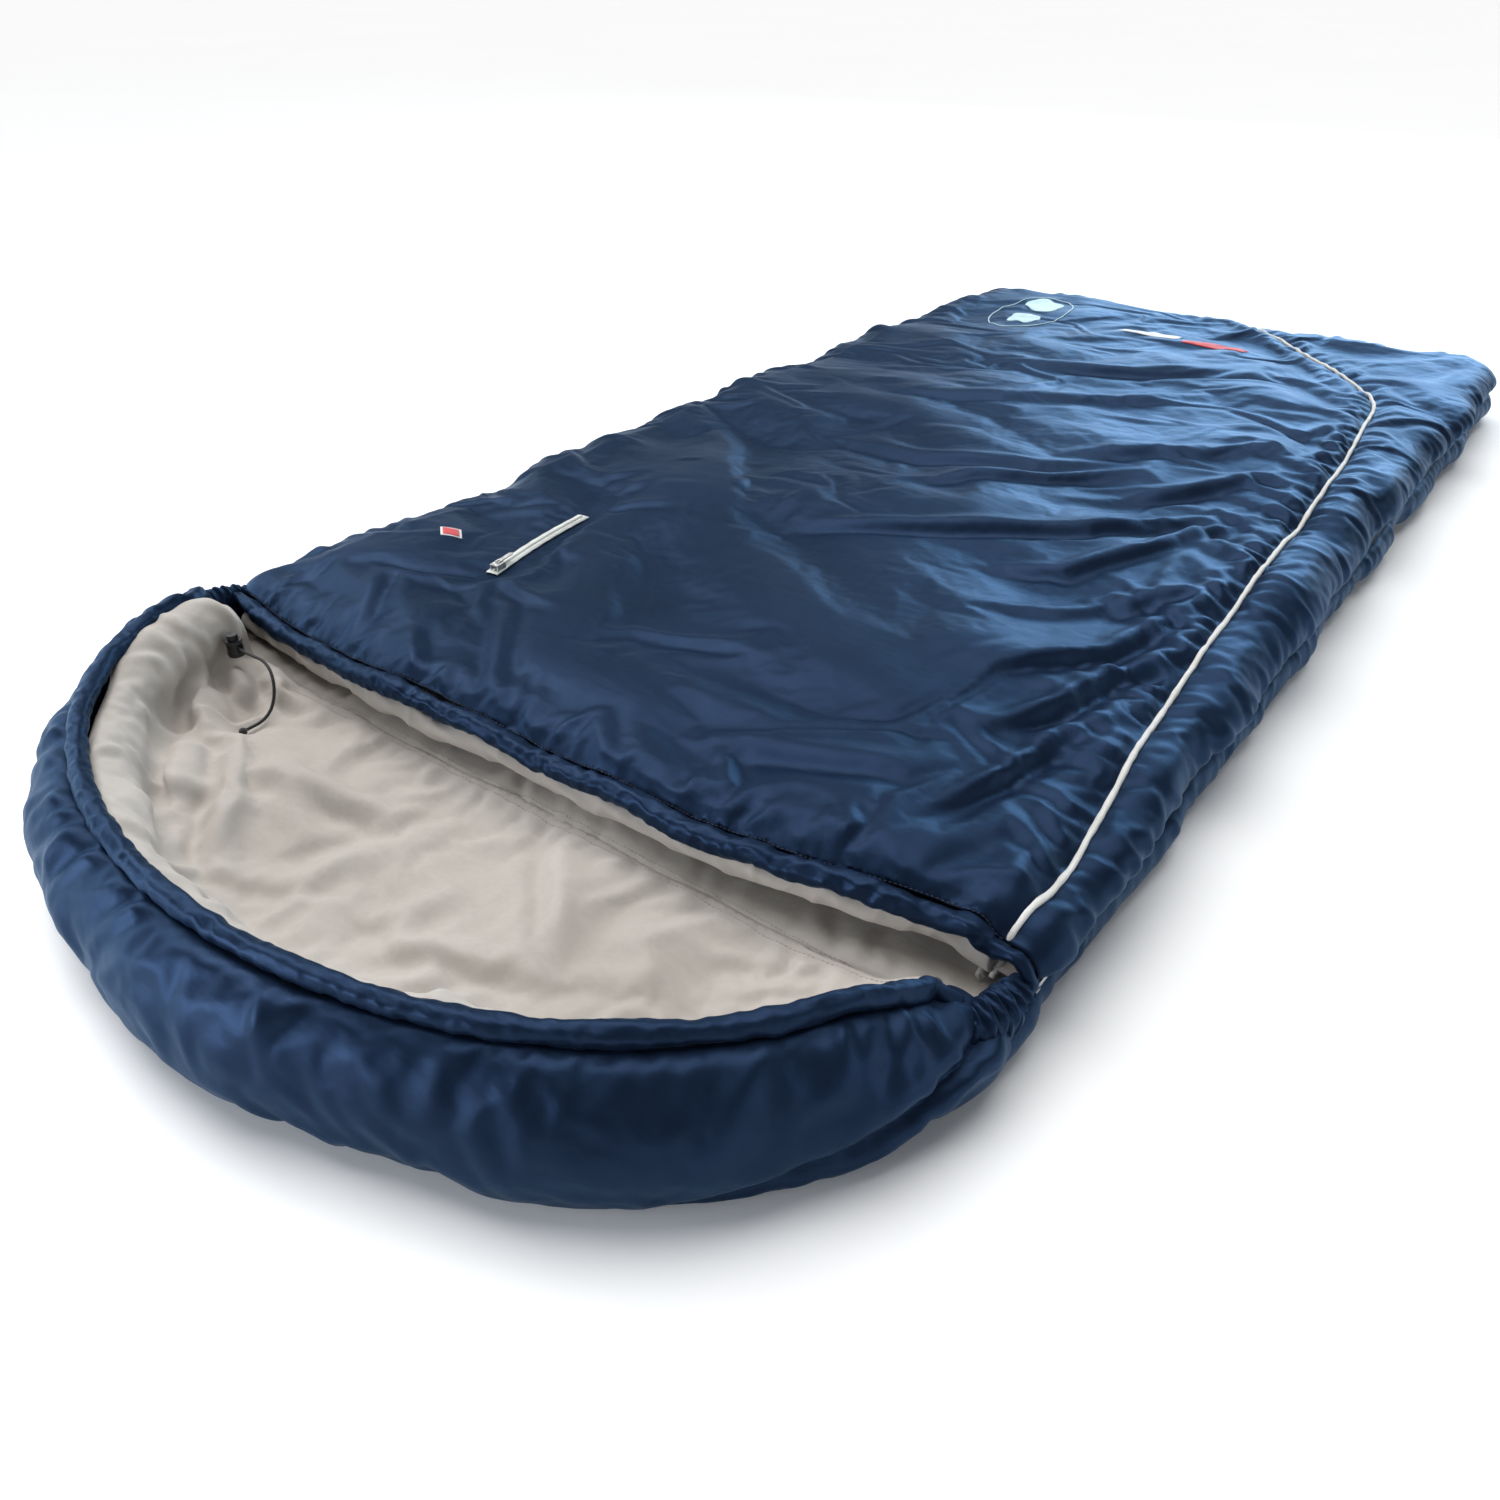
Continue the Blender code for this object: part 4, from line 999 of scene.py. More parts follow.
target[:, 2] = np.maximum(target[:, 2], 0.0004)
set_coords(hood, target)
hold = np.zeros(len(p))
hold[hood_flat[:, 1] < 0.022] = 1.0
hold[hood_flat[:, 1] > top_v - 0.010] = 1.0
hold[(hood_flat[:, 0] < 0.004) | (hood_flat[:, 0] > HOOD_RUN - 0.004)] = 1.0
hold[(dart_far < 0.004) & (dart_share < 0.85)] = 0.9
drape(hood, hold, grow=0.014, pressure=1.0, frames=14, cap=0.005)
finer(hood)
p = coords(hood)
p[:, 2] = np.maximum(p[:, 2], 0.0003)
p[:, 1] = np.minimum(p[:, 1], HOOD_FRONT + 0.0010)
set_coords(hood, p)
dress(hood, NAVY, stands_for=("hood_shell", "hood_floor_padding", "hood_wall_padding"))
across_neck(hood)

# Rim tunnel, with the drawcord inside it
rim_turns, _ = ellipse_turns(360)
rim = np.array([hood_at(t, 0.0500, 0.1175) for t in rim_turns])
rim = rim[rim[:, 1] < -0.7580]
rim = np.vstack([[(0.4480, -0.7500, 0.0660), (0.4370, -0.7545, 0.0745)], rim[::4],
                 [(-0.4340, -0.7530, 0.1110), (-0.4420, -0.7460, 0.1060)]])
rim = even(rim, TUNNEL_STEPS)
run = run_of(rim)
ends = np.minimum(run, run[-1] - run)
rim[:, 2] += 0.0010 * lumps(rim, 0.06, 91)
rim_r = 0.0088 + 0.0006 * lumps(rim, 0.05, 92) + 0.0015 * smooth(0.12, 0.02, run[-1] - run)
rim_r *= 0.25 + 0.75 * np.sqrt(np.clip(ends / 0.012, 0, 1))
tight = 1 + 1.6 * smooth(0.16, 0.02, run[-1] - run) + 0.8 * smooth(0.10, 0.02, run)
pinch = np.array([lumps(np.array([[at, 0.0]]), 0.012, 93)[0] for at in run])


def rim_ripple(i, turns):
    twist = 2.5 * lumps(np.array([[run[i], 1.0]]), 0.06, 94)[0]
    return tight[i] * (0.07 * pinch[i] * np.cos(2 * turns + twist) + 0.035 * np.cos(5 * turns + 45 * run[i]))


rim_tube = tube("rim_tunnel", rim, rim_r, 20, rim_ripple)
crinkle(rim_tube, 0.014, 0.0014, 95)
crinkle(rim_tube, 0.006, 0.0005, 96)
finer(rim_tube)
dress(rim_tube, NAVY_TUNNEL, "hood", ("hood_rim_tunnel", "hood_drawcord"))

# The drawcord tail takes the same route as in the CAD
tail_points = [(-0.4235, -0.7595, 0.1100), (-0.4225, -0.7550, 0.1095), (-0.4150, -0.7520, 0.1065),
               (-0.4060, -0.7550, 0.0990),
               (-0.3950, -0.7605, 0.0895), (-0.3860, -0.7640, 0.0825), (-0.3770, -0.7640, 0.0800),
               (-0.3640, -0.7640, 0.0800), (-0.3350, -0.7640, 0.0800), (-0.3160, -0.7640, 0.0800),
               (-0.3000, -0.7680, 0.0740), (-0.2900, -0.7750, 0.0610), (-0.2850, -0.7850, 0.0480),
               (-0.2830, -0.7980, 0.0414), (-0.2830, -0.8150, 0.0403)]
tail_line = even(tail_points, 34)
LOCK_AT = np.array([-0.364, -0.764])

# Hood lining: a puffed inner wall, and a floor with soft dents

inner_profile = even([(0.0500, 0.1080), (0.0570, 0.1130), (0.0660, 0.1150), (0.0770, 0.1090), (0.0860, 0.0970),
                      (0.0890, 0.0820), (0.0880, 0.0680), (0.0920, 0.0560), (0.1010, 0.0500), (0.1120, 0.0540),
                      (0.1270, 0.0530), (0.1450, 0.0430), (0.1650, 0.0358)], 30)
flat_profile = even([(0.0500, 0.1080), (0.0560, 0.1090), (0.0620, 0.1060), (0.0700, 0.0960), (0.0780, 0.0840),
                     (0.0850, 0.0720), (0.0910, 0.0610), (0.0970, 0.0520), (0.1050, 0.0455), (0.1160, 0.0420),
                     (0.1300, 0.0395), (0.1460, 0.0372), (0.1650, 0.0358)], 30)
inner_run = run_of(inner_profile)
verts, flat = [], []
LINING_TURNS = 170
lining_turns, _ = ellipse_turns(LINING_TURNS)
for i, turn in enumerate(lining_turns):
    puffed = float(smooth(math.radians(100), math.radians(135), turn))
    for k, (inset, z) in enumerate(puffed * inner_profile + (1 - puffed) * flat_profile):
        place = hood_at(turn, inset, z)
        laid = inner_profile[-1][0] - (inner_run[-1] - inner_run[k])
        verts.append(place)
        flat.append(hood_at(turn, laid, 0.0)[:2])
rows = len(inner_profile)
faces = grid_faces(LINING_TURNS, rows)
edge = [i * rows + rows - 1 for i in range(LINING_TURNS)]
edge_points = np.array([verts[i] for i in edge])
step = 0.0095
half = edge_points[0][0]
front = np.array([(x, seam_line(x) + 0.0032) for x in np.linspace(-half, half, int(2 * half / step))[1:-1]])
inside = staggered(0.42, -1.08, HOOD_FRONT - 0.5 * step, step)
a = HALF - inner_profile[-1][0] - 0.5 * step
b = HOOD_DEPTH - inner_profile[-1][0] - 0.5 * step
far, _, _ = nearest(inside, edge_points[:, :2])
keep = ((inside[:, 0] / (a + 0.012)) ** 2 + ((inside[:, 1] - HOOD_FRONT) / (b + 0.012)) ** 2 < 1) & (far > 0.5 * step)
inside = inside[keep] + np.random.default_rng(4).uniform(-0.1, 0.1, (keep.sum(), 2)) * step
plane = np.vstack([edge_points[:, :2], front, inside])
made = delaunay_2d_cdt([Vector(v) for v in plane], [], [list(range(len(edge) + len(front)))], 1, 1e-7)
origin = [source[0] for source in made[3]]
base = len(verts)
index = edge + [base + i for i in range(len(plane) - len(edge))]
for place in plane[len(edge):]:
    verts.append(np.array([place[0], place[1], 0.0352]))
    flat.append(place)
faces += [tuple(index[origin[i]] for i in face) for face in made[2]]
pillow = new_mesh("hood_inner", verts, faces)
flat = np.array([np.array(v[:2]) for v in flat])
outward(pillow, 1)
p = coords(pillow)
n = normals(pillow)
inner = Folds(101)
for line, height, width in (
    ([(-0.300, -0.820), (-0.240, -0.863), (-0.166, -0.925), (-0.115, -0.975)], 0.0110, 0.016),
    ([(-0.225, -0.865), (-0.124, -0.838), (-0.032, -0.811)], 0.0070, 0.016),
    ([(-0.130, -0.960), (-0.055, -0.915), (-0.020, -0.830)], 0.0050, 0.018),
    ([(0.000, -0.930), (0.045, -0.890), (0.070, -0.835)], 0.0045, 0.016),
    ([(0.040, -0.955), (0.109, -0.905), (0.200, -0.875)], 0.0060, 0.015),
    ([(0.060, -0.750), (0.124, -0.813), (0.178, -0.868)], 0.0060, 0.012),
    ([(-0.395, -0.800), (-0.340, -0.835), (-0.280, -0.850)], 0.0100, 0.013),
    ([(-0.400, -0.765), (-0.345, -0.785), (-0.290, -0.775)], 0.0100, 0.012),
    ([(-0.360, -0.745), (-0.310, -0.760), (-0.262, -0.745)], 0.0080, 0.011),
    ([(-0.330, -0.745), (-0.300, -0.790), (-0.285, -0.830)], 0.0080, 0.012),
    ([(0.290, -0.820), (0.325, -0.780), (0.365, -0.755)], 0.0060, 0.010),
    ([(0.250, -0.790), (0.300, -0.760), (0.350, -0.745)], 0.0050, 0.009),
    ([(0.220, -0.950), (0.290, -0.890), (0.330, -0.820)], 0.0050, 0.015),
    ([(-0.280, -0.900), (-0.210, -0.945), (-0.130, -0.990)], 0.0060, 0.014),
):
    inner.draw(line, height, width, 0.3, 0.35)
inner.puckers([(x, HOOD_FRONT) for x in np.linspace(-0.35, 0.42, 20)], 0.018, 0.045, 0.0065, 0.0042, sides=(-1,))
inner.puckers([(x, HOOD_FRONT) for x in np.linspace(0.24, 0.42, 10)], 0.012, 0.060, 0.0060, 0.0022, sides=(-1,))
wall_foot = [tuple(hood_at(t, 0.100, 0.0)[:2]) for t in lining_turns[::6]]
rim_foot = [tuple(hood_at(t, 0.040, 0.0)[:2]) for t in lining_turns[::6]]
inner.puckers(wall_foot, 0.035, 0.060, 0.0090, 0.0034, spread=0.35)
inner.puckers(rim_foot, 0.026, 0.050, 0.0070, 0.0030, sides=(1, -1), spread=0.5)
inner.scatter((-0.34, 0.34, -0.95, -0.76), 60, 0.6, 1.0, 0.09, 0.011, 0.0030)
dent = 0.0050 * lumps(flat, 0.13, 103) + 0.0022 * lumps(flat, 0.05, 104) + inner.field(flat)
share = smooth(HOOD_FRONT, HOOD_FRONT - 0.016, flat[:, 1])
total = np.clip(dent * 1.25, -0.012, 0.018) * share
total *= 1 - 0.55 * smooth(0.24, 0.34, p[:, 0]) * smooth(-0.90, -0.82, p[:, 1])
target = p + n * total[:, None]
target[:, 2] -= 0.0022 * np.exp(-(((flat[:, 1] - HOOD_FRONT) / 0.009) ** 2)) * smooth(0.32, 0.28, np.abs(p[:, 0]))
target[:, 2] += hem_puff(p[:, 0], p[:, 1]) * (p[:, 2] < 0.05)
target[:, 2] = np.maximum(target[:, 2], 0.0285)
set_coords(pillow, target)
hold = np.zeros(len(p))
hold[(flat[:, 1] > HOOD_FRONT - 0.004)] = 1.0
hold[: rows * LINING_TURNS][np.tile(np.arange(rows) < 3, LINING_TURNS)] = 1.0
hold[(hold == 0) & (p[:, 2] < 0.037)] = 0.04
drape(pillow, hold, grow=0.022, pressure=0.2, frames=12, cap=0.008, stiff=12, bend=0.6)
finer(pillow)
p = coords(pillow)
p[:, 1] = np.minimum(p[:, 1], HOOD_FRONT + 0.0040)
# Room for the drawcord's tail, its knot and the cord lock
tail_far, _, tail_share = nearest(p[:, :2], tail_line[:, :2])
tail_run = run_of(tail_line[:, :2])
tail_z = np.interp(tail_share, tail_run / tail_run[-1], tail_line[:, 2])
ceiling_z = tail_z - 0.0048 + 0.9 * np.maximum(tail_far - 0.006, 0)
below = (tail_z < 0.075) & (tail_far < 0.05) & (p[:, 2] > ceiling_z)
p[below, 2] = ceiling_z[below]
off = p[:, :2] - LOCK_AT
lock_far = np.linalg.norm(off, axis=1)
close = (lock_far < 0.0125) & (p[:, 2] > 0.064)
p[close, :2] = LOCK_AT + off[close] / lock_far[close][:, None] * 0.0125
set_coords(pillow, p)
dress(pillow, BEIGE, stands_for=("hood_lining",), thick=0.0008)
across_neck(pillow)

# Gathered cloth that closes the side between the hood and the body

for name, route, radii, tall, rough, seed in (
    ("neck_gather_right", [(0.4630, -0.6880, 0.0500), (0.4630, -0.7080, 0.0530), (0.4615, -0.7280, 0.0545),
                           (0.4560, -0.7480, 0.0560), (0.4480, -0.7640, 0.0590)],
     (0.0075, 0.0138, 0.0160, 0.0150, 0.0080), 1.30, 1.0, 131),
    ("neck_gather_left", [(-0.4610, -0.6720, 0.0640), (-0.4620, -0.6980, 0.0670), (-0.4600, -0.7220, 0.0700),
                          (-0.4540, -0.7430, 0.0760), (-0.4440, -0.7610, 0.0880)],
     (0.0080, 0.0120, 0.0130, 0.0125, 0.0085), 2.15, 0.45, 132),
):
    path = even(route, 120)
    radius = np.interp(np.linspace(0, 1, 120), np.linspace(0, 1, 5), radii)
    radius *= 0.2 + 0.8 * np.sqrt(np.clip(np.minimum(np.arange(120), np.arange(120)[::-1]) / 10, 0, 1))
    twist = lumps(path, 0.05, seed + 10)

    def gathers(i, t, twist=twist, rough=rough):
        return rough * (0.10 * np.sin(i * 0.42 + 1.6 * np.sin(t + twist[i]) + 1.2 * twist[i])
                        + 0.05 * np.sin(i * 0.83 + 2.0 * np.cos(2 * t)) + 0.03 * np.cos(5 * t))

    gather = tube(name, path, radius, 44, gathers, flatten=tall)
    crinkle(gather, 0.024, 0.0012 + 0.0010 * rough, seed)
    crinkle(gather, 0.009, 0.0007, seed + 3)
    finer(gather)
    # The zip pull swings back over the right gathers and presses them in; the left ones are clear of it
    p = coords(gather)
    level = np.abs(p[:, 2] - 0.050)
    room = 0.4680 + 0.012 * np.maximum(smooth(0.006, 0.013, level), smooth(-0.712, -0.724, p[:, 1]))
    p[:, 0] = np.minimum(p[:, 0], room)
    set_coords(gather, p)
    dress(gather, NAVY_TUNNEL)
    across_neck(gather)

# Piping and trim on the cover


def draped_line(route, count, above):
    route = even(route, count)
    line = np.array([on_cover(x, y) for x, y in route])
    kernel = np.array([1, 2, 3, 2, 1]) / 9
    padded = np.concatenate([[line[0, 2]] * 2, line[:, 2], [line[-1, 2]] * 2])
    line[:, 2] = np.convolve(padded, kernel, "valid") + above
    return line


pipe_line = draped_line(PIPING, 420, 0.0012)
piping = tube("side_piping", pipe_line, 0.0027, 12)
crinkle(piping, 0.010, 0.0004, 111, False)
dress(piping, PALE, "cover", ("cover_piping",))


def pocket_at(s, t, above):
    """s along the zip from its near end, t across it; the zip bows a little to the left."""
    bow = 0.0045 * (1 - (2 * s / POCKET_LENGTH - 1) ** 2)
    x = POCKET_CENTRE[0] + (s - POCKET_LENGTH / 2) * math.cos(POCKET_TURN) - (t + bow) * math.sin(POCKET_TURN)
    y = POCKET_CENTRE[1] + (s - POCKET_LENGTH / 2) * math.sin(POCKET_TURN) + (t + bow) * math.cos(POCKET_TURN)
    return (x, y, above)


def flat_patch(name, points, faces, thickness, material, stands_for=()):
    obj = new_mesh(name, points, faces)
    outward(obj, 1)
    dress(obj, material, "cover", stands_for, thick=thickness)
    return obj


tape_points = []
across_steps = (-0.0078, -0.0072, -0.0036, -0.0006, 0.0006, 0.0036, 0.0072, 0.0078)
tape_z = (0.0998, 0.1009, 0.1012, 0.1013, 0.1013, 0.1012, 0.1009, 0.0998)
long_steps = 60
for i in range(long_steps + 1):
    s = POCKET_LENGTH * i / long_steps
    for t, z in zip(across_steps, tape_z):
        tape_points.append(pocket_at(s, t, z + 0.0002 * math.sin(s * 300 + t * 900)))
tape_faces = grid_faces(long_steps + 1, len(tape_z))
tape = flat_patch("pocket_tape", tape_points, tape_faces, 0.0008, PALE_TAPE)
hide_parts("pocket_zip_tape")
coil_points = []
for i in range(150):
    s = 0.004 + (POCKET_LENGTH - 0.008) * i / 149
    coil_points.append(pocket_at(s, 0.0, 0.1018))
coil = tube("pocket_coil", coil_points, 0.0017, 8, lambda i, t: 0.22 * (i % 2) * np.ones(8))
wear(coil, PALE_TAPE)
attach(coil, "cover")
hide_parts("pocket_zip_teeth")


def draped_shape(name, outline_points, lift, thickness, material, spacing=0.004):
    """A flat patch that follows the cover's surface."""
    loop = np.array(outline_points, float)
    low, high = loop.min(0), loop.max(0)
    xs = np.arange(low[0], high[0], spacing)
    ys = np.arange(low[1], high[1], spacing)
    grid = np.array([(x, y) for x in xs for y in ys])
    edge_far, _, _ = nearest(grid, np.vstack([loop, loop[:1]]))
    plane = np.vstack([loop, grid[edge_far > spacing * 0.5]])
    made = delaunay_2d_cdt([Vector(v) for v in plane], [], [list(range(len(loop)))], 1, 1e-7)
    points = [on_cover(v.x, v.y, lift) for v in made[0]]
    return flat_patch(name, points, made[2], thickness, material)


def ring_of(centre, rx, ry, turn=0.0, count=48, wobble=0.0, seed=0):
    rng = np.random.default_rng(seed)
    phases = rng.uniform(0, 6.28, 4)
    out = []
    for t in np.linspace(0, 2 * np.pi, count, endpoint=False):
        r = 1 + wobble * sum(math.sin((k + 2) * t + phases[k]) for k in range(4)) / 2
        x, y = rx * r * math.cos(t), ry * r * math.sin(t)
        out.append((centre[0] + x * math.cos(turn) - y * math.sin(turn),
                    centre[1] + x * math.sin(turn) + y * math.cos(turn)))
    return out


def lozenge(centre, wide, deep):
    x, y = centre
    corners = [(x - wide, y), (x, y - deep), (x + wide, y), (x, y + deep)]
    out = []
    for a, b in zip(corners, corners[1:] + corners[:1]):
        for t in np.linspace(0, 1, 6, endpoint=False):
            out.append((a[0] + (b[0] - a[0]) * t, a[1] + (b[1] - a[1]) * t))
    return out


BADGE = (-0.361, -0.482)
draped_shape("badge_border", lozenge(BADGE, 0.0180, 0.0150), 0.0007, 0.0006, WHITE, 0.003)
badge_red = draped_shape("badge_field", lozenge(BADGE, 0.0142, 0.0115), 0.0012, 0.0006, RED, 0.003)
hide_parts("cover_badge")


def bar(centre, wide, deep, lean):
    x, y = centre
    corners = [(x - wide / 2, y - deep / 2), (x + wide / 2, y - deep / 2), (x + wide / 2 + lean, y + deep / 2),
               (x - wide / 2 + lean, y + deep / 2)]
    out = []
    for a, b in zip(corners, corners[1:] + corners[:1]):
        for t in np.linspace(0, 1, 12, endpoint=False):
            out.append((a[0] + (b[0] - a[0]) * t, a[1] + (b[1] - a[1]) * t))
    return out


bar_white = draped_shape("foot_bar_pale", bar((-0.060, 0.850), 0.105, 0.022, 0.006), 0.0007, 0.0006,
                         WHITE)
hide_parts("foot_bar_white")
bar_red = draped_shape("foot_bar_bright", bar((0.060, 0.838), 0.105, 0.022, 0.006), 0.0007, 0.0006, RED)
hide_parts("foot_bar_red")
blob_a = draped_shape("foot_blob_large", ring_of((-0.295, 0.930), 0.034, 0.050, 0.3, wobble=0.10, seed=1), 0.0006,
                      0.0006, ICE)
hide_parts("foot_print")
draped_shape("foot_blob_small", ring_of((-0.285, 0.822), 0.026, 0.034, 0.1, wobble=0.12, seed=2), 0.0006,
             0.0006, ICE)
ring_line = ring_of((-0.292, 0.868), 0.062, 0.125, 0.05, 90, 0.03, 3)
ring_line = np.array([on_cover(x, y, 0.0007) for x, y in ring_line + ring_line[:1]])
loop_tube = tube("foot_outline", ring_line, 0.0011, 6, flatten=0.5)
wear(loop_tube, ICE)
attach(loop_tube, "cover")

# Stitches


def stitches(name, line, pitch, size, material, body):
    """Thread showing along a line: a small raised bar for each stitch."""
    line = np.array(line, float)
    run = run_of(line)
    long, wide, tall = size
    points, faces = [], []
    for at in np.arange(pitch / 2, run[-1] - pitch / 2, pitch):
        a = np.array([np.interp(at - long / 2, run, line[:, k]) for k in range(3)])
        b = np.array([np.interp(at + long / 2, run, line[:, k]) for k in range(3)])
        way = (b - a) / np.linalg.norm(b - a)
        side = np.cross(way, (0, 0, 1))
        side /= max(np.linalg.norm(side), 1e-9)
        up = np.cross(side, way)
        base = len(points)
        for place, share, drop in ((a, 0.45, -0.6), ((2 * a + b) / 3, 1.0, 0.0),
                                   ((a + 2 * b) / 3, 1.0, 0.0), (b, 0.45, -0.6)):
            for x, z in ((-1, -1), (1, -1), (1, 0.4), (0, 1), (-1, 0.4)):
                points.append(place + side * x * wide / 2 * share + up * (z * tall / 2 * share + drop * tall))
        faces += ring_faces(4, 5, base)
    obj = new_mesh(name, points, faces)
    outward(obj)
    wear(obj, material)
    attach(obj, body)
    return obj


hem_stitch = [on_cover(x, hem_line(x) + 0.0008, 0.0005) for x in np.linspace(-0.44, 0.44, 500)]
stitches("hem_stitches", hem_stitch, 0.0040, (0.0029, 0.0007, 0.0005), THREAD_NAVY, "cover")
for side, label in ((-1, "outer"), (1, "inner")):
    row = [pocket_at(POCKET_LENGTH * k / 80, side * 0.0054, 0.1018) for k in range(1, 80)]
    stitches("pocket_stitches_" + label, row, 0.0032, (0.0023, 0.0005, 0.0004), PALE_TAPE, "cover")


for obj, name, y, wobble, body in ((bed, "neck_stitches_body", NECK + 0.0042, 7, "bottom"),
                                   (pillow, "neck_stitches_hood", HOOD_FRONT - 0.0046, 8, "hood")):
    tree_here = surface_tree(obj)
    row = []
    for x in np.linspace(-0.33, 0.40, 420):
        yy = y + 0.0007 * math.sin(31 * x + wobble)
        hit = tree_here.ray_cast(Vector((x, yy, 0.06)), Vector((0, 0, -1)))
        if hit[0] is not None:
            row.append((x, yy, hit[0].z + 0.0003))
    stitches(name, row, 0.0042, (0.0030, 0.0007, 0.0005), THREAD_BEIGE, body)

# Zip teeth: a row of small blocks on each tape

zip_plan = outline(0.0095, HEM + 0.004, HEM + 0.004, 60, 24, 40)
zip_plan = zip_plan[(zip_plan[:, 0] > -0.3895) & ((zip_plan[:, 1] > 0.9) | (zip_plan[:, 0] > 0))]
zip_plan = np.vstack([[-0.390, zip_plan[0][1]], zip_plan])
zip_run = run_of(zip_plan)
for name, side, body in (("zip_coil_lower", -1, "bottom"), ("zip_coil_upper", 1, "cover")):
    points, faces = [], []
    pitch = 0.0021
    for at in np.arange(pitch, zip_run[-1] - pitch, pitch):
        here = at + (0.5 * pitch if side > 0 else 0)
        x, y = (np.interp(here, zip_run, zip_plan[:, k]) for k in (0, 1))
        x2, y2 = (np.interp(here + 0.001, zip_run, zip_plan[:, k]) for k in (0, 1))
        way = np.array([x2 - x, y2 - y, 0.0])
        way /= max(np.linalg.norm(way), 1e-9)
        out = np.array([way[1], -way[0], 0.0])
        centre = np.array([x, y, SEAM_Z])
        base = len(points)
        for z, grow in ((0.0009, 0.85), (0.0022, 1.0), (0.0037, 0.55)):
            for a, b in ((-1, -1), (1, -1), (1, 1), (-1, 1)):
                points.append(centre + way * a * 0.00062 * grow + out * b * 0.0011 * grow + np.array([0, 0, side * z]))
        for ring in (0, 1):
            for k in range(4):
                j = (k + 1) % 4
                faces.append((base + ring * 4 + k, base + ring * 4 + j, base + ring * 4 + 4 + j,
                              base + ring * 4 + 4 + k))
        faces.append((base + 3, base + 2, base + 1, base))
        faces.append((base + 8, base + 9, base + 10, base + 11))
    coil_row = new_mesh(name, points, faces, False)
    outward(coil_row)
    wear(coil_row, TEETH_NAVY)
    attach(coil_row, body)
    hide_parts("zip_teeth_lower" if side < 0 else "zip_teeth_upper")

# Moulded rings on the cord lock

lock_low, lock_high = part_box("cord_lock_barrel")
lock_mid = [(a + b) / 2 for a, b in zip(lock_low, lock_high)]
for label, z in (("low", lock_low[2] + 0.0028), ("high", lock_high[2] - 0.0022)):
    ring = [(lock_mid[0] + 0.0078 * math.cos(t), lock_mid[1] + 0.0078 * math.sin(t), z)
            for t in np.linspace(0, 2 * math.pi, 49)]
    collar = tube("cord_lock_ring_" + label, ring, 0.0007, 8)
    wear(collar, PLASTIC)
    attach(collar, "cord_lock")

# Pocket bag inside the cover

bag_points, bag_faces = [], []
bag_low, bag_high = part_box("pocket_bag")
for i in range(25):
    for k in range(21):
        x = bag_low[0] + (bag_high[0] - bag_low[0]) * k / 20
        y = bag_low[1] + (bag_high[1] - bag_low[1]) * i / 24
        bag_points.append((x, y, 0.0900 + 0.0006 * math.sin(40 * x + 55 * y)))
for i in range(24):
    for k in range(20):
        a = i * 21 + k
        bag_faces.append((a, a + 1, a + 22, a + 21))
bag = flat_patch("pocket_lining", bag_points, bag_faces, 0.0012, BEIGE)
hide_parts("pocket_bag")

# Draft tube and garage beside the zip

tube_low, tube_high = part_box("zip_draft_tube")
mid_x = (tube_low[0] + tube_high[0]) / 2
draft_line = even([(mid_x + 0.002, tube_low[1] + 0.010, 0.0420), (mid_x, tube_low[1] + 0.06, 0.0470),
                   (mid_x, 0.0, 0.0470), (mid_x, tube_high[1] - 0.01, 0.0470)], 260)
draft_r = 0.0105 + 0.0010 * lumps(draft_line, 0.05, 121)
draft_r = draft_r * np.minimum(1, 0.15 + np.linspace(0, 20, 260)) * np.minimum(1, 0.35 + np.linspace(60, 0, 260))
draft = tube("draft_tube", draft_line, draft_r, 16, lambda i, t: 0.10 * np.cos(3 * t + 0.4 * i))
crinkle(draft, 0.02, 0.002, 122)
finer(draft)
wear(draft, BEIGE)
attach(draft, "bottom")
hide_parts("zip_draft_tube")
g_low, g_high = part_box("zip_garage")
g_mid = [(a + b) / 2 for a, b in zip(g_low, g_high)]
garage_line = even([(g_mid[0] - 0.001, g_low[1] - 0.001, g_mid[2] - 0.006),
                    (g_mid[0], g_mid[1] - 0.003, g_mid[2] - 0.001),
                    (g_mid[0], g_mid[1] - 0.002, g_mid[2] + 0.004),
                    (g_mid[0] - 0.001, g_high[1] - 0.003, g_mid[2] + 0.009)], 24)
garage = tube("garage_pouch", garage_line, 0.0058 * np.sin(np.linspace(0.5, 2.6, 24)), 14)
crinkle(garage, 0.008, 0.0009, 125)
finer(garage)
wear(garage, BEIGE)
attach(garage, "bottom")
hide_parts("zip_garage")

# Drawcord tail

curve = bpy.data.curves.new("cord_tail", "CURVE")
curve.dimensions = "3D"
curve.bevel_depth = 0.0016
curve.bevel_resolution = 4
curve.use_fill_caps = True
spline = curve.splines.new("POLY")
spline.points.add(len(tail_line) - 1)
for point, place in zip(spline.points, tail_line):
    point.co = (*place, 1.0)
tail = bpy.data.objects.new("cord_tail", curve)
bpy.context.scene.collection.objects.link(tail)
curve.materials.append(CORD_BLACK)
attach(tail, "hood")
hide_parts("drawcord_tail")
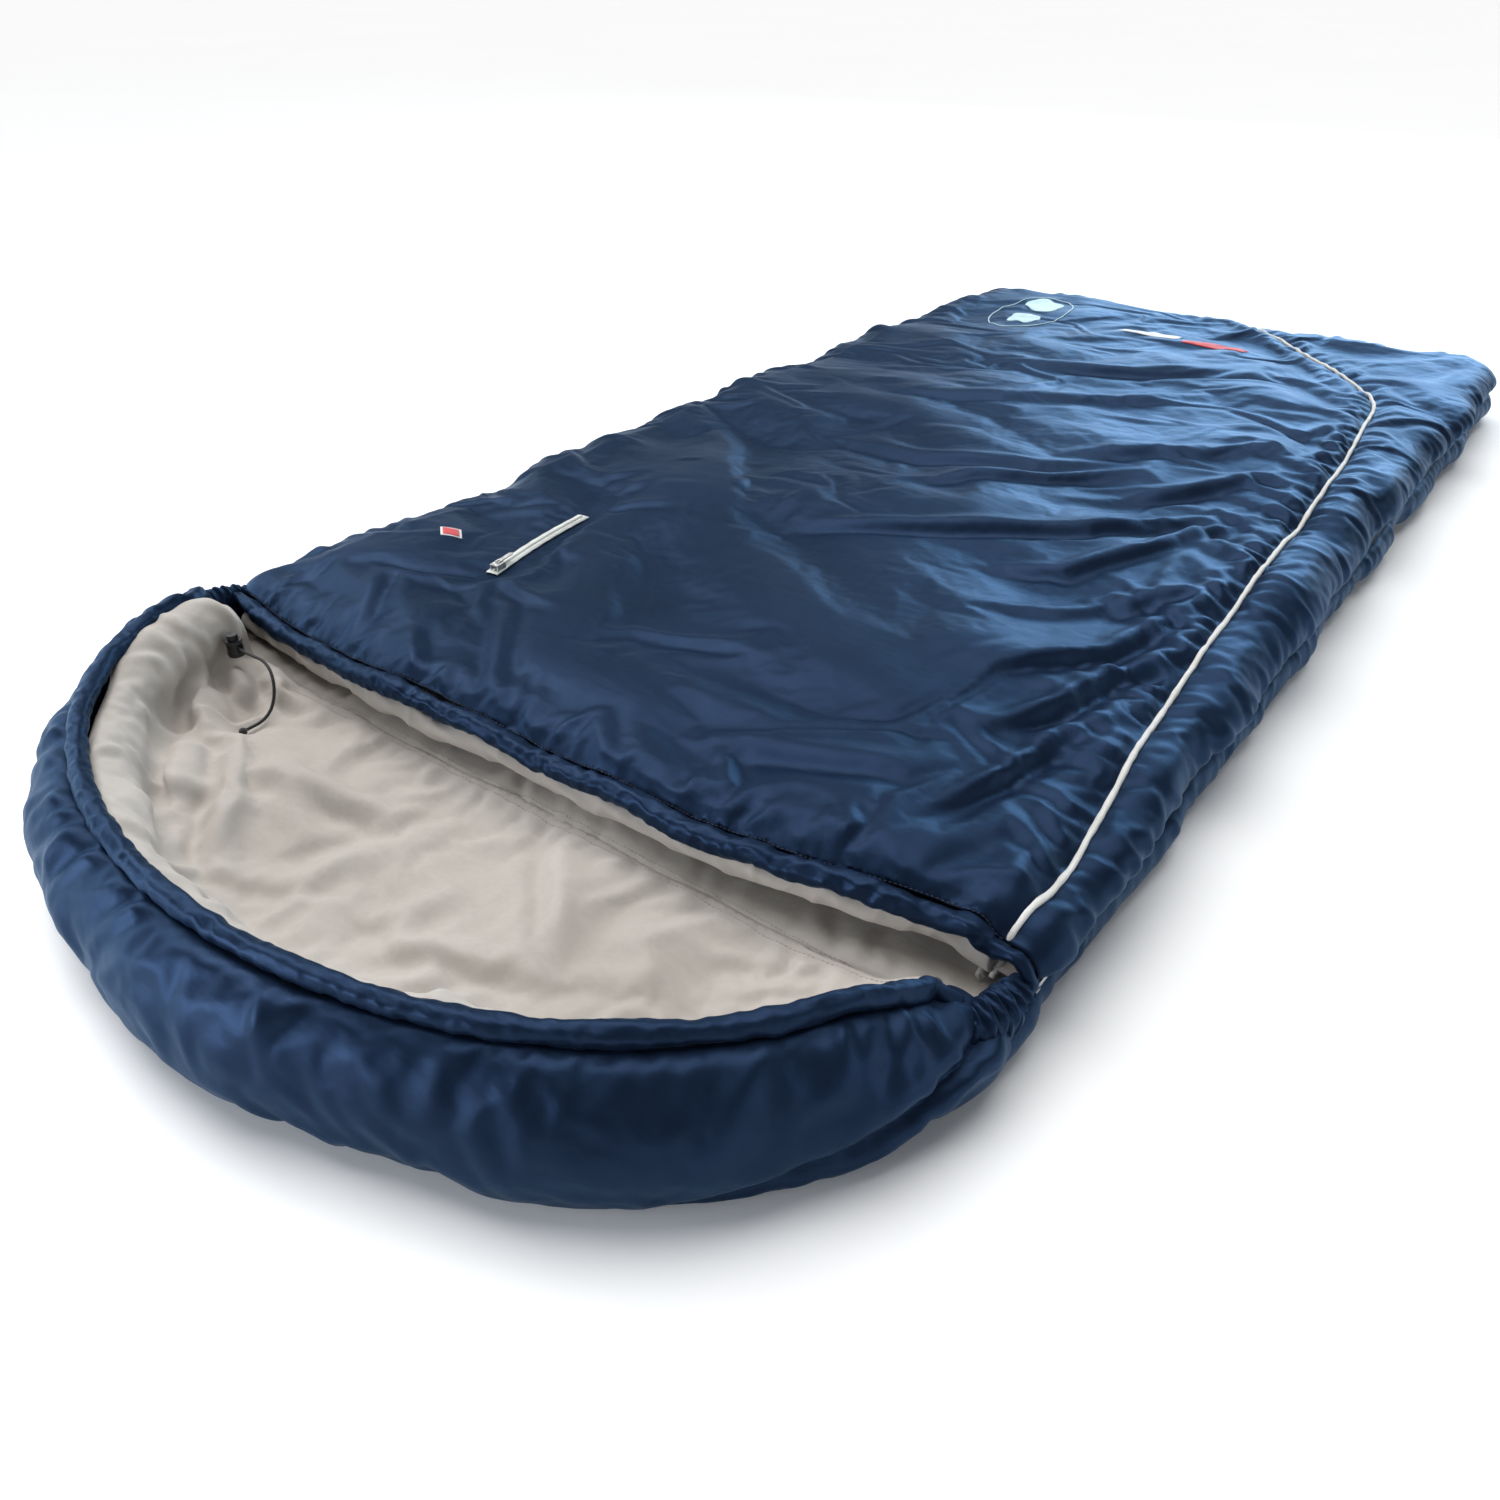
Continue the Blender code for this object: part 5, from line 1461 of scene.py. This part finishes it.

# The cord lock's spring, with a mesh of its own

spring_low, spring_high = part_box("cord_lock_spring")
SPRING_WIRE = 0.0004
spring_mid = [(spring_low[k] + spring_high[k]) / 2 for k in range(2)]
coil_turns = np.linspace(0, 8 * math.pi, 161)
coil_r = (spring_high[0] - spring_low[0]) / 2 - SPRING_WIRE
coil_z = np.linspace(spring_low[2] + SPRING_WIRE, spring_high[2] - SPRING_WIRE, 161)
lock_spring = tube("lock_spring", np.column_stack([spring_mid[0] + coil_r * np.cos(coil_turns),
                                                   spring_mid[1] + coil_r * np.sin(coil_turns), coil_z]), SPRING_WIRE, 8)
wear(lock_spring, STEEL)
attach(lock_spring, "cord_lock")
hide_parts("cord_lock_spring")
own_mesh(lock_spring)

# CAD pieces that stay get their finishes

for node, material in (
    ("drawcord_knot", CORD_BLACK), ("drawcord_anchor", CORD_BLACK), ("cord_lock_barrel", PLASTIC),
    ("cord_lock_button", PLASTIC), ("side_zip_slider", METAL), ("side_zip_pull", METAL),
    ("foot_zip_slider", METAL), ("foot_zip_pull", METAL), ("pocket_zip_slider", PALE_METAL),
    ("pocket_zip_pull", PALE_METAL), ("zip_neck_stop_lower", METAL), ("zip_neck_stop_upper", METAL),
    ("zip_foot_stop", METAL), ("zip_tape_lower", TAPE_NAVY), ("zip_tape_upper", TAPE_NAVY),
):
    repaint(node, material)

# Floor, light and surroundings

FLOOR_HALF, FLOOR_Z = 30, -0.0005
floor = new_mesh("floor", [(x * FLOOR_HALF, y * FLOOR_HALF, FLOOR_Z) for x, y in ((-1, -1), (1, -1), (1, 1), (-1, 1))],
                 [(0, 1, 2, 3)], False)
n = Nodes("pale_floor")
pale = n.mix(n.ramp(n.noise(0.8), 0.3, 0.7), (0.93, 0.93, 0.93), (0.94, 0.94, 0.94))
floor.data.materials.append(n.set(Base_Color=pale, Roughness=0.9, Specular_IOR_Level=0.1))


def softbox(name, place, target, size, power, colour=(1, 1, 1)):
    data = bpy.data.lights.new(name, "AREA")
    data.shape = "RECTANGLE"
    data.size, data.size_y = size
    data.energy = power
    data.color = colour
    lamp = bpy.data.objects.new(name, data)
    lamp.location = place
    way = Vector(target) - Vector(place)
    lamp.rotation_euler = way.to_track_quat("-Z", "Y").to_euler()
    bpy.context.scene.collection.objects.link(lamp)


softbox("key_softbox", (-2.4, -0.3, 2.2), (0.0, -0.4, 0.0), (1.6, 1.2), 38)
softbox("left_softbox", (-3.0, -1.3, 0.9), (0.0, -0.9, 0.0), (2.2, 1.0), 22, (0.80, 0.89, 1.0))
softbox("right_softbox", (3.2, 0.2, 0.9), (0.3, 0.0, 0.0), (3.2, 1.0), 22, (0.80, 0.90, 1.0))
softbox("front_softbox", (-1.5, -3.4, 0.8), (-0.1, -1.0, 0.05), (2.2, 0.9), 72, (0.86, 0.92, 1.0))
softbox("back_softbox", (-0.35, 4.6, 1.25), (0.0, 0.8, 0.0), (3.0, 1.7), 100, (0.62, 0.84, 1.0))
ceiling = bpy.data.lights.new("ceiling", "SUN")
ceiling.energy = 2.9
ceiling.angle = math.radians(60)
ceiling_lamp = bpy.data.objects.new("ceiling", ceiling)
ceiling_lamp.rotation_euler = (math.radians(-12), math.radians(-14), 0)
bpy.context.scene.collection.objects.link(ceiling_lamp)

world = bpy.data.worlds.new("studio")
bpy.context.scene.world = world
world.use_nodes = True
tree = world.node_tree
background = tree.nodes["Background"]
where = tree.nodes.new("ShaderNodeTexCoord")


def world_ramp(way, low, high, to_low, to_high):
    """Brightness of the surroundings along a direction."""
    dot = tree.nodes.new("ShaderNodeVectorMath")
    dot.operation = "DOT_PRODUCT"
    tree.links.new(where.outputs["Generated"], dot.inputs[0])
    dot.inputs[1].default_value = way
    ramp = tree.nodes.new("ShaderNodeMapRange")
    ramp.interpolation_type = "SMOOTHSTEP"
    tree.links.new(dot.outputs["Value"], ramp.inputs["Value"])
    for key, number in (("From Min", low), ("From Max", high), ("To Min", to_low), ("To Max", to_high)):
        ramp.inputs[key].default_value = number
    return ramp.outputs["Result"]


def world_math(what, a, b):
    node = tree.nodes.new("ShaderNodeMath")
    node.operation = what
    for socket, value in zip(node.inputs, (a, b)):
        if isinstance(value, float):
            socket.default_value = value
        else:
            tree.links.new(value, socket)
    return node.outputs[0]


behind = world_ramp((-0.12, 0.99, 0.0), 0.75, 1.0, 0.0, 0.5)
low_band = world_ramp((0.0, 0.0, 1.0), 0.10, 0.45, 1.0, 0.0)
glow = world_math("MULTIPLY", behind, low_band)
strength = world_math("ADD", glow, world_ramp((0.0, 0.0, 1.0), 0.0, 0.32, 0.97, 0.13))
rays = tree.nodes.new("ShaderNodeLightPath")
shown = world_math("MAXIMUM", strength, rays.outputs["Is Camera Ray"])
tree.links.new(shown, background.inputs["Strength"])
background.inputs["Color"].default_value = (1, 1, 1, 1)
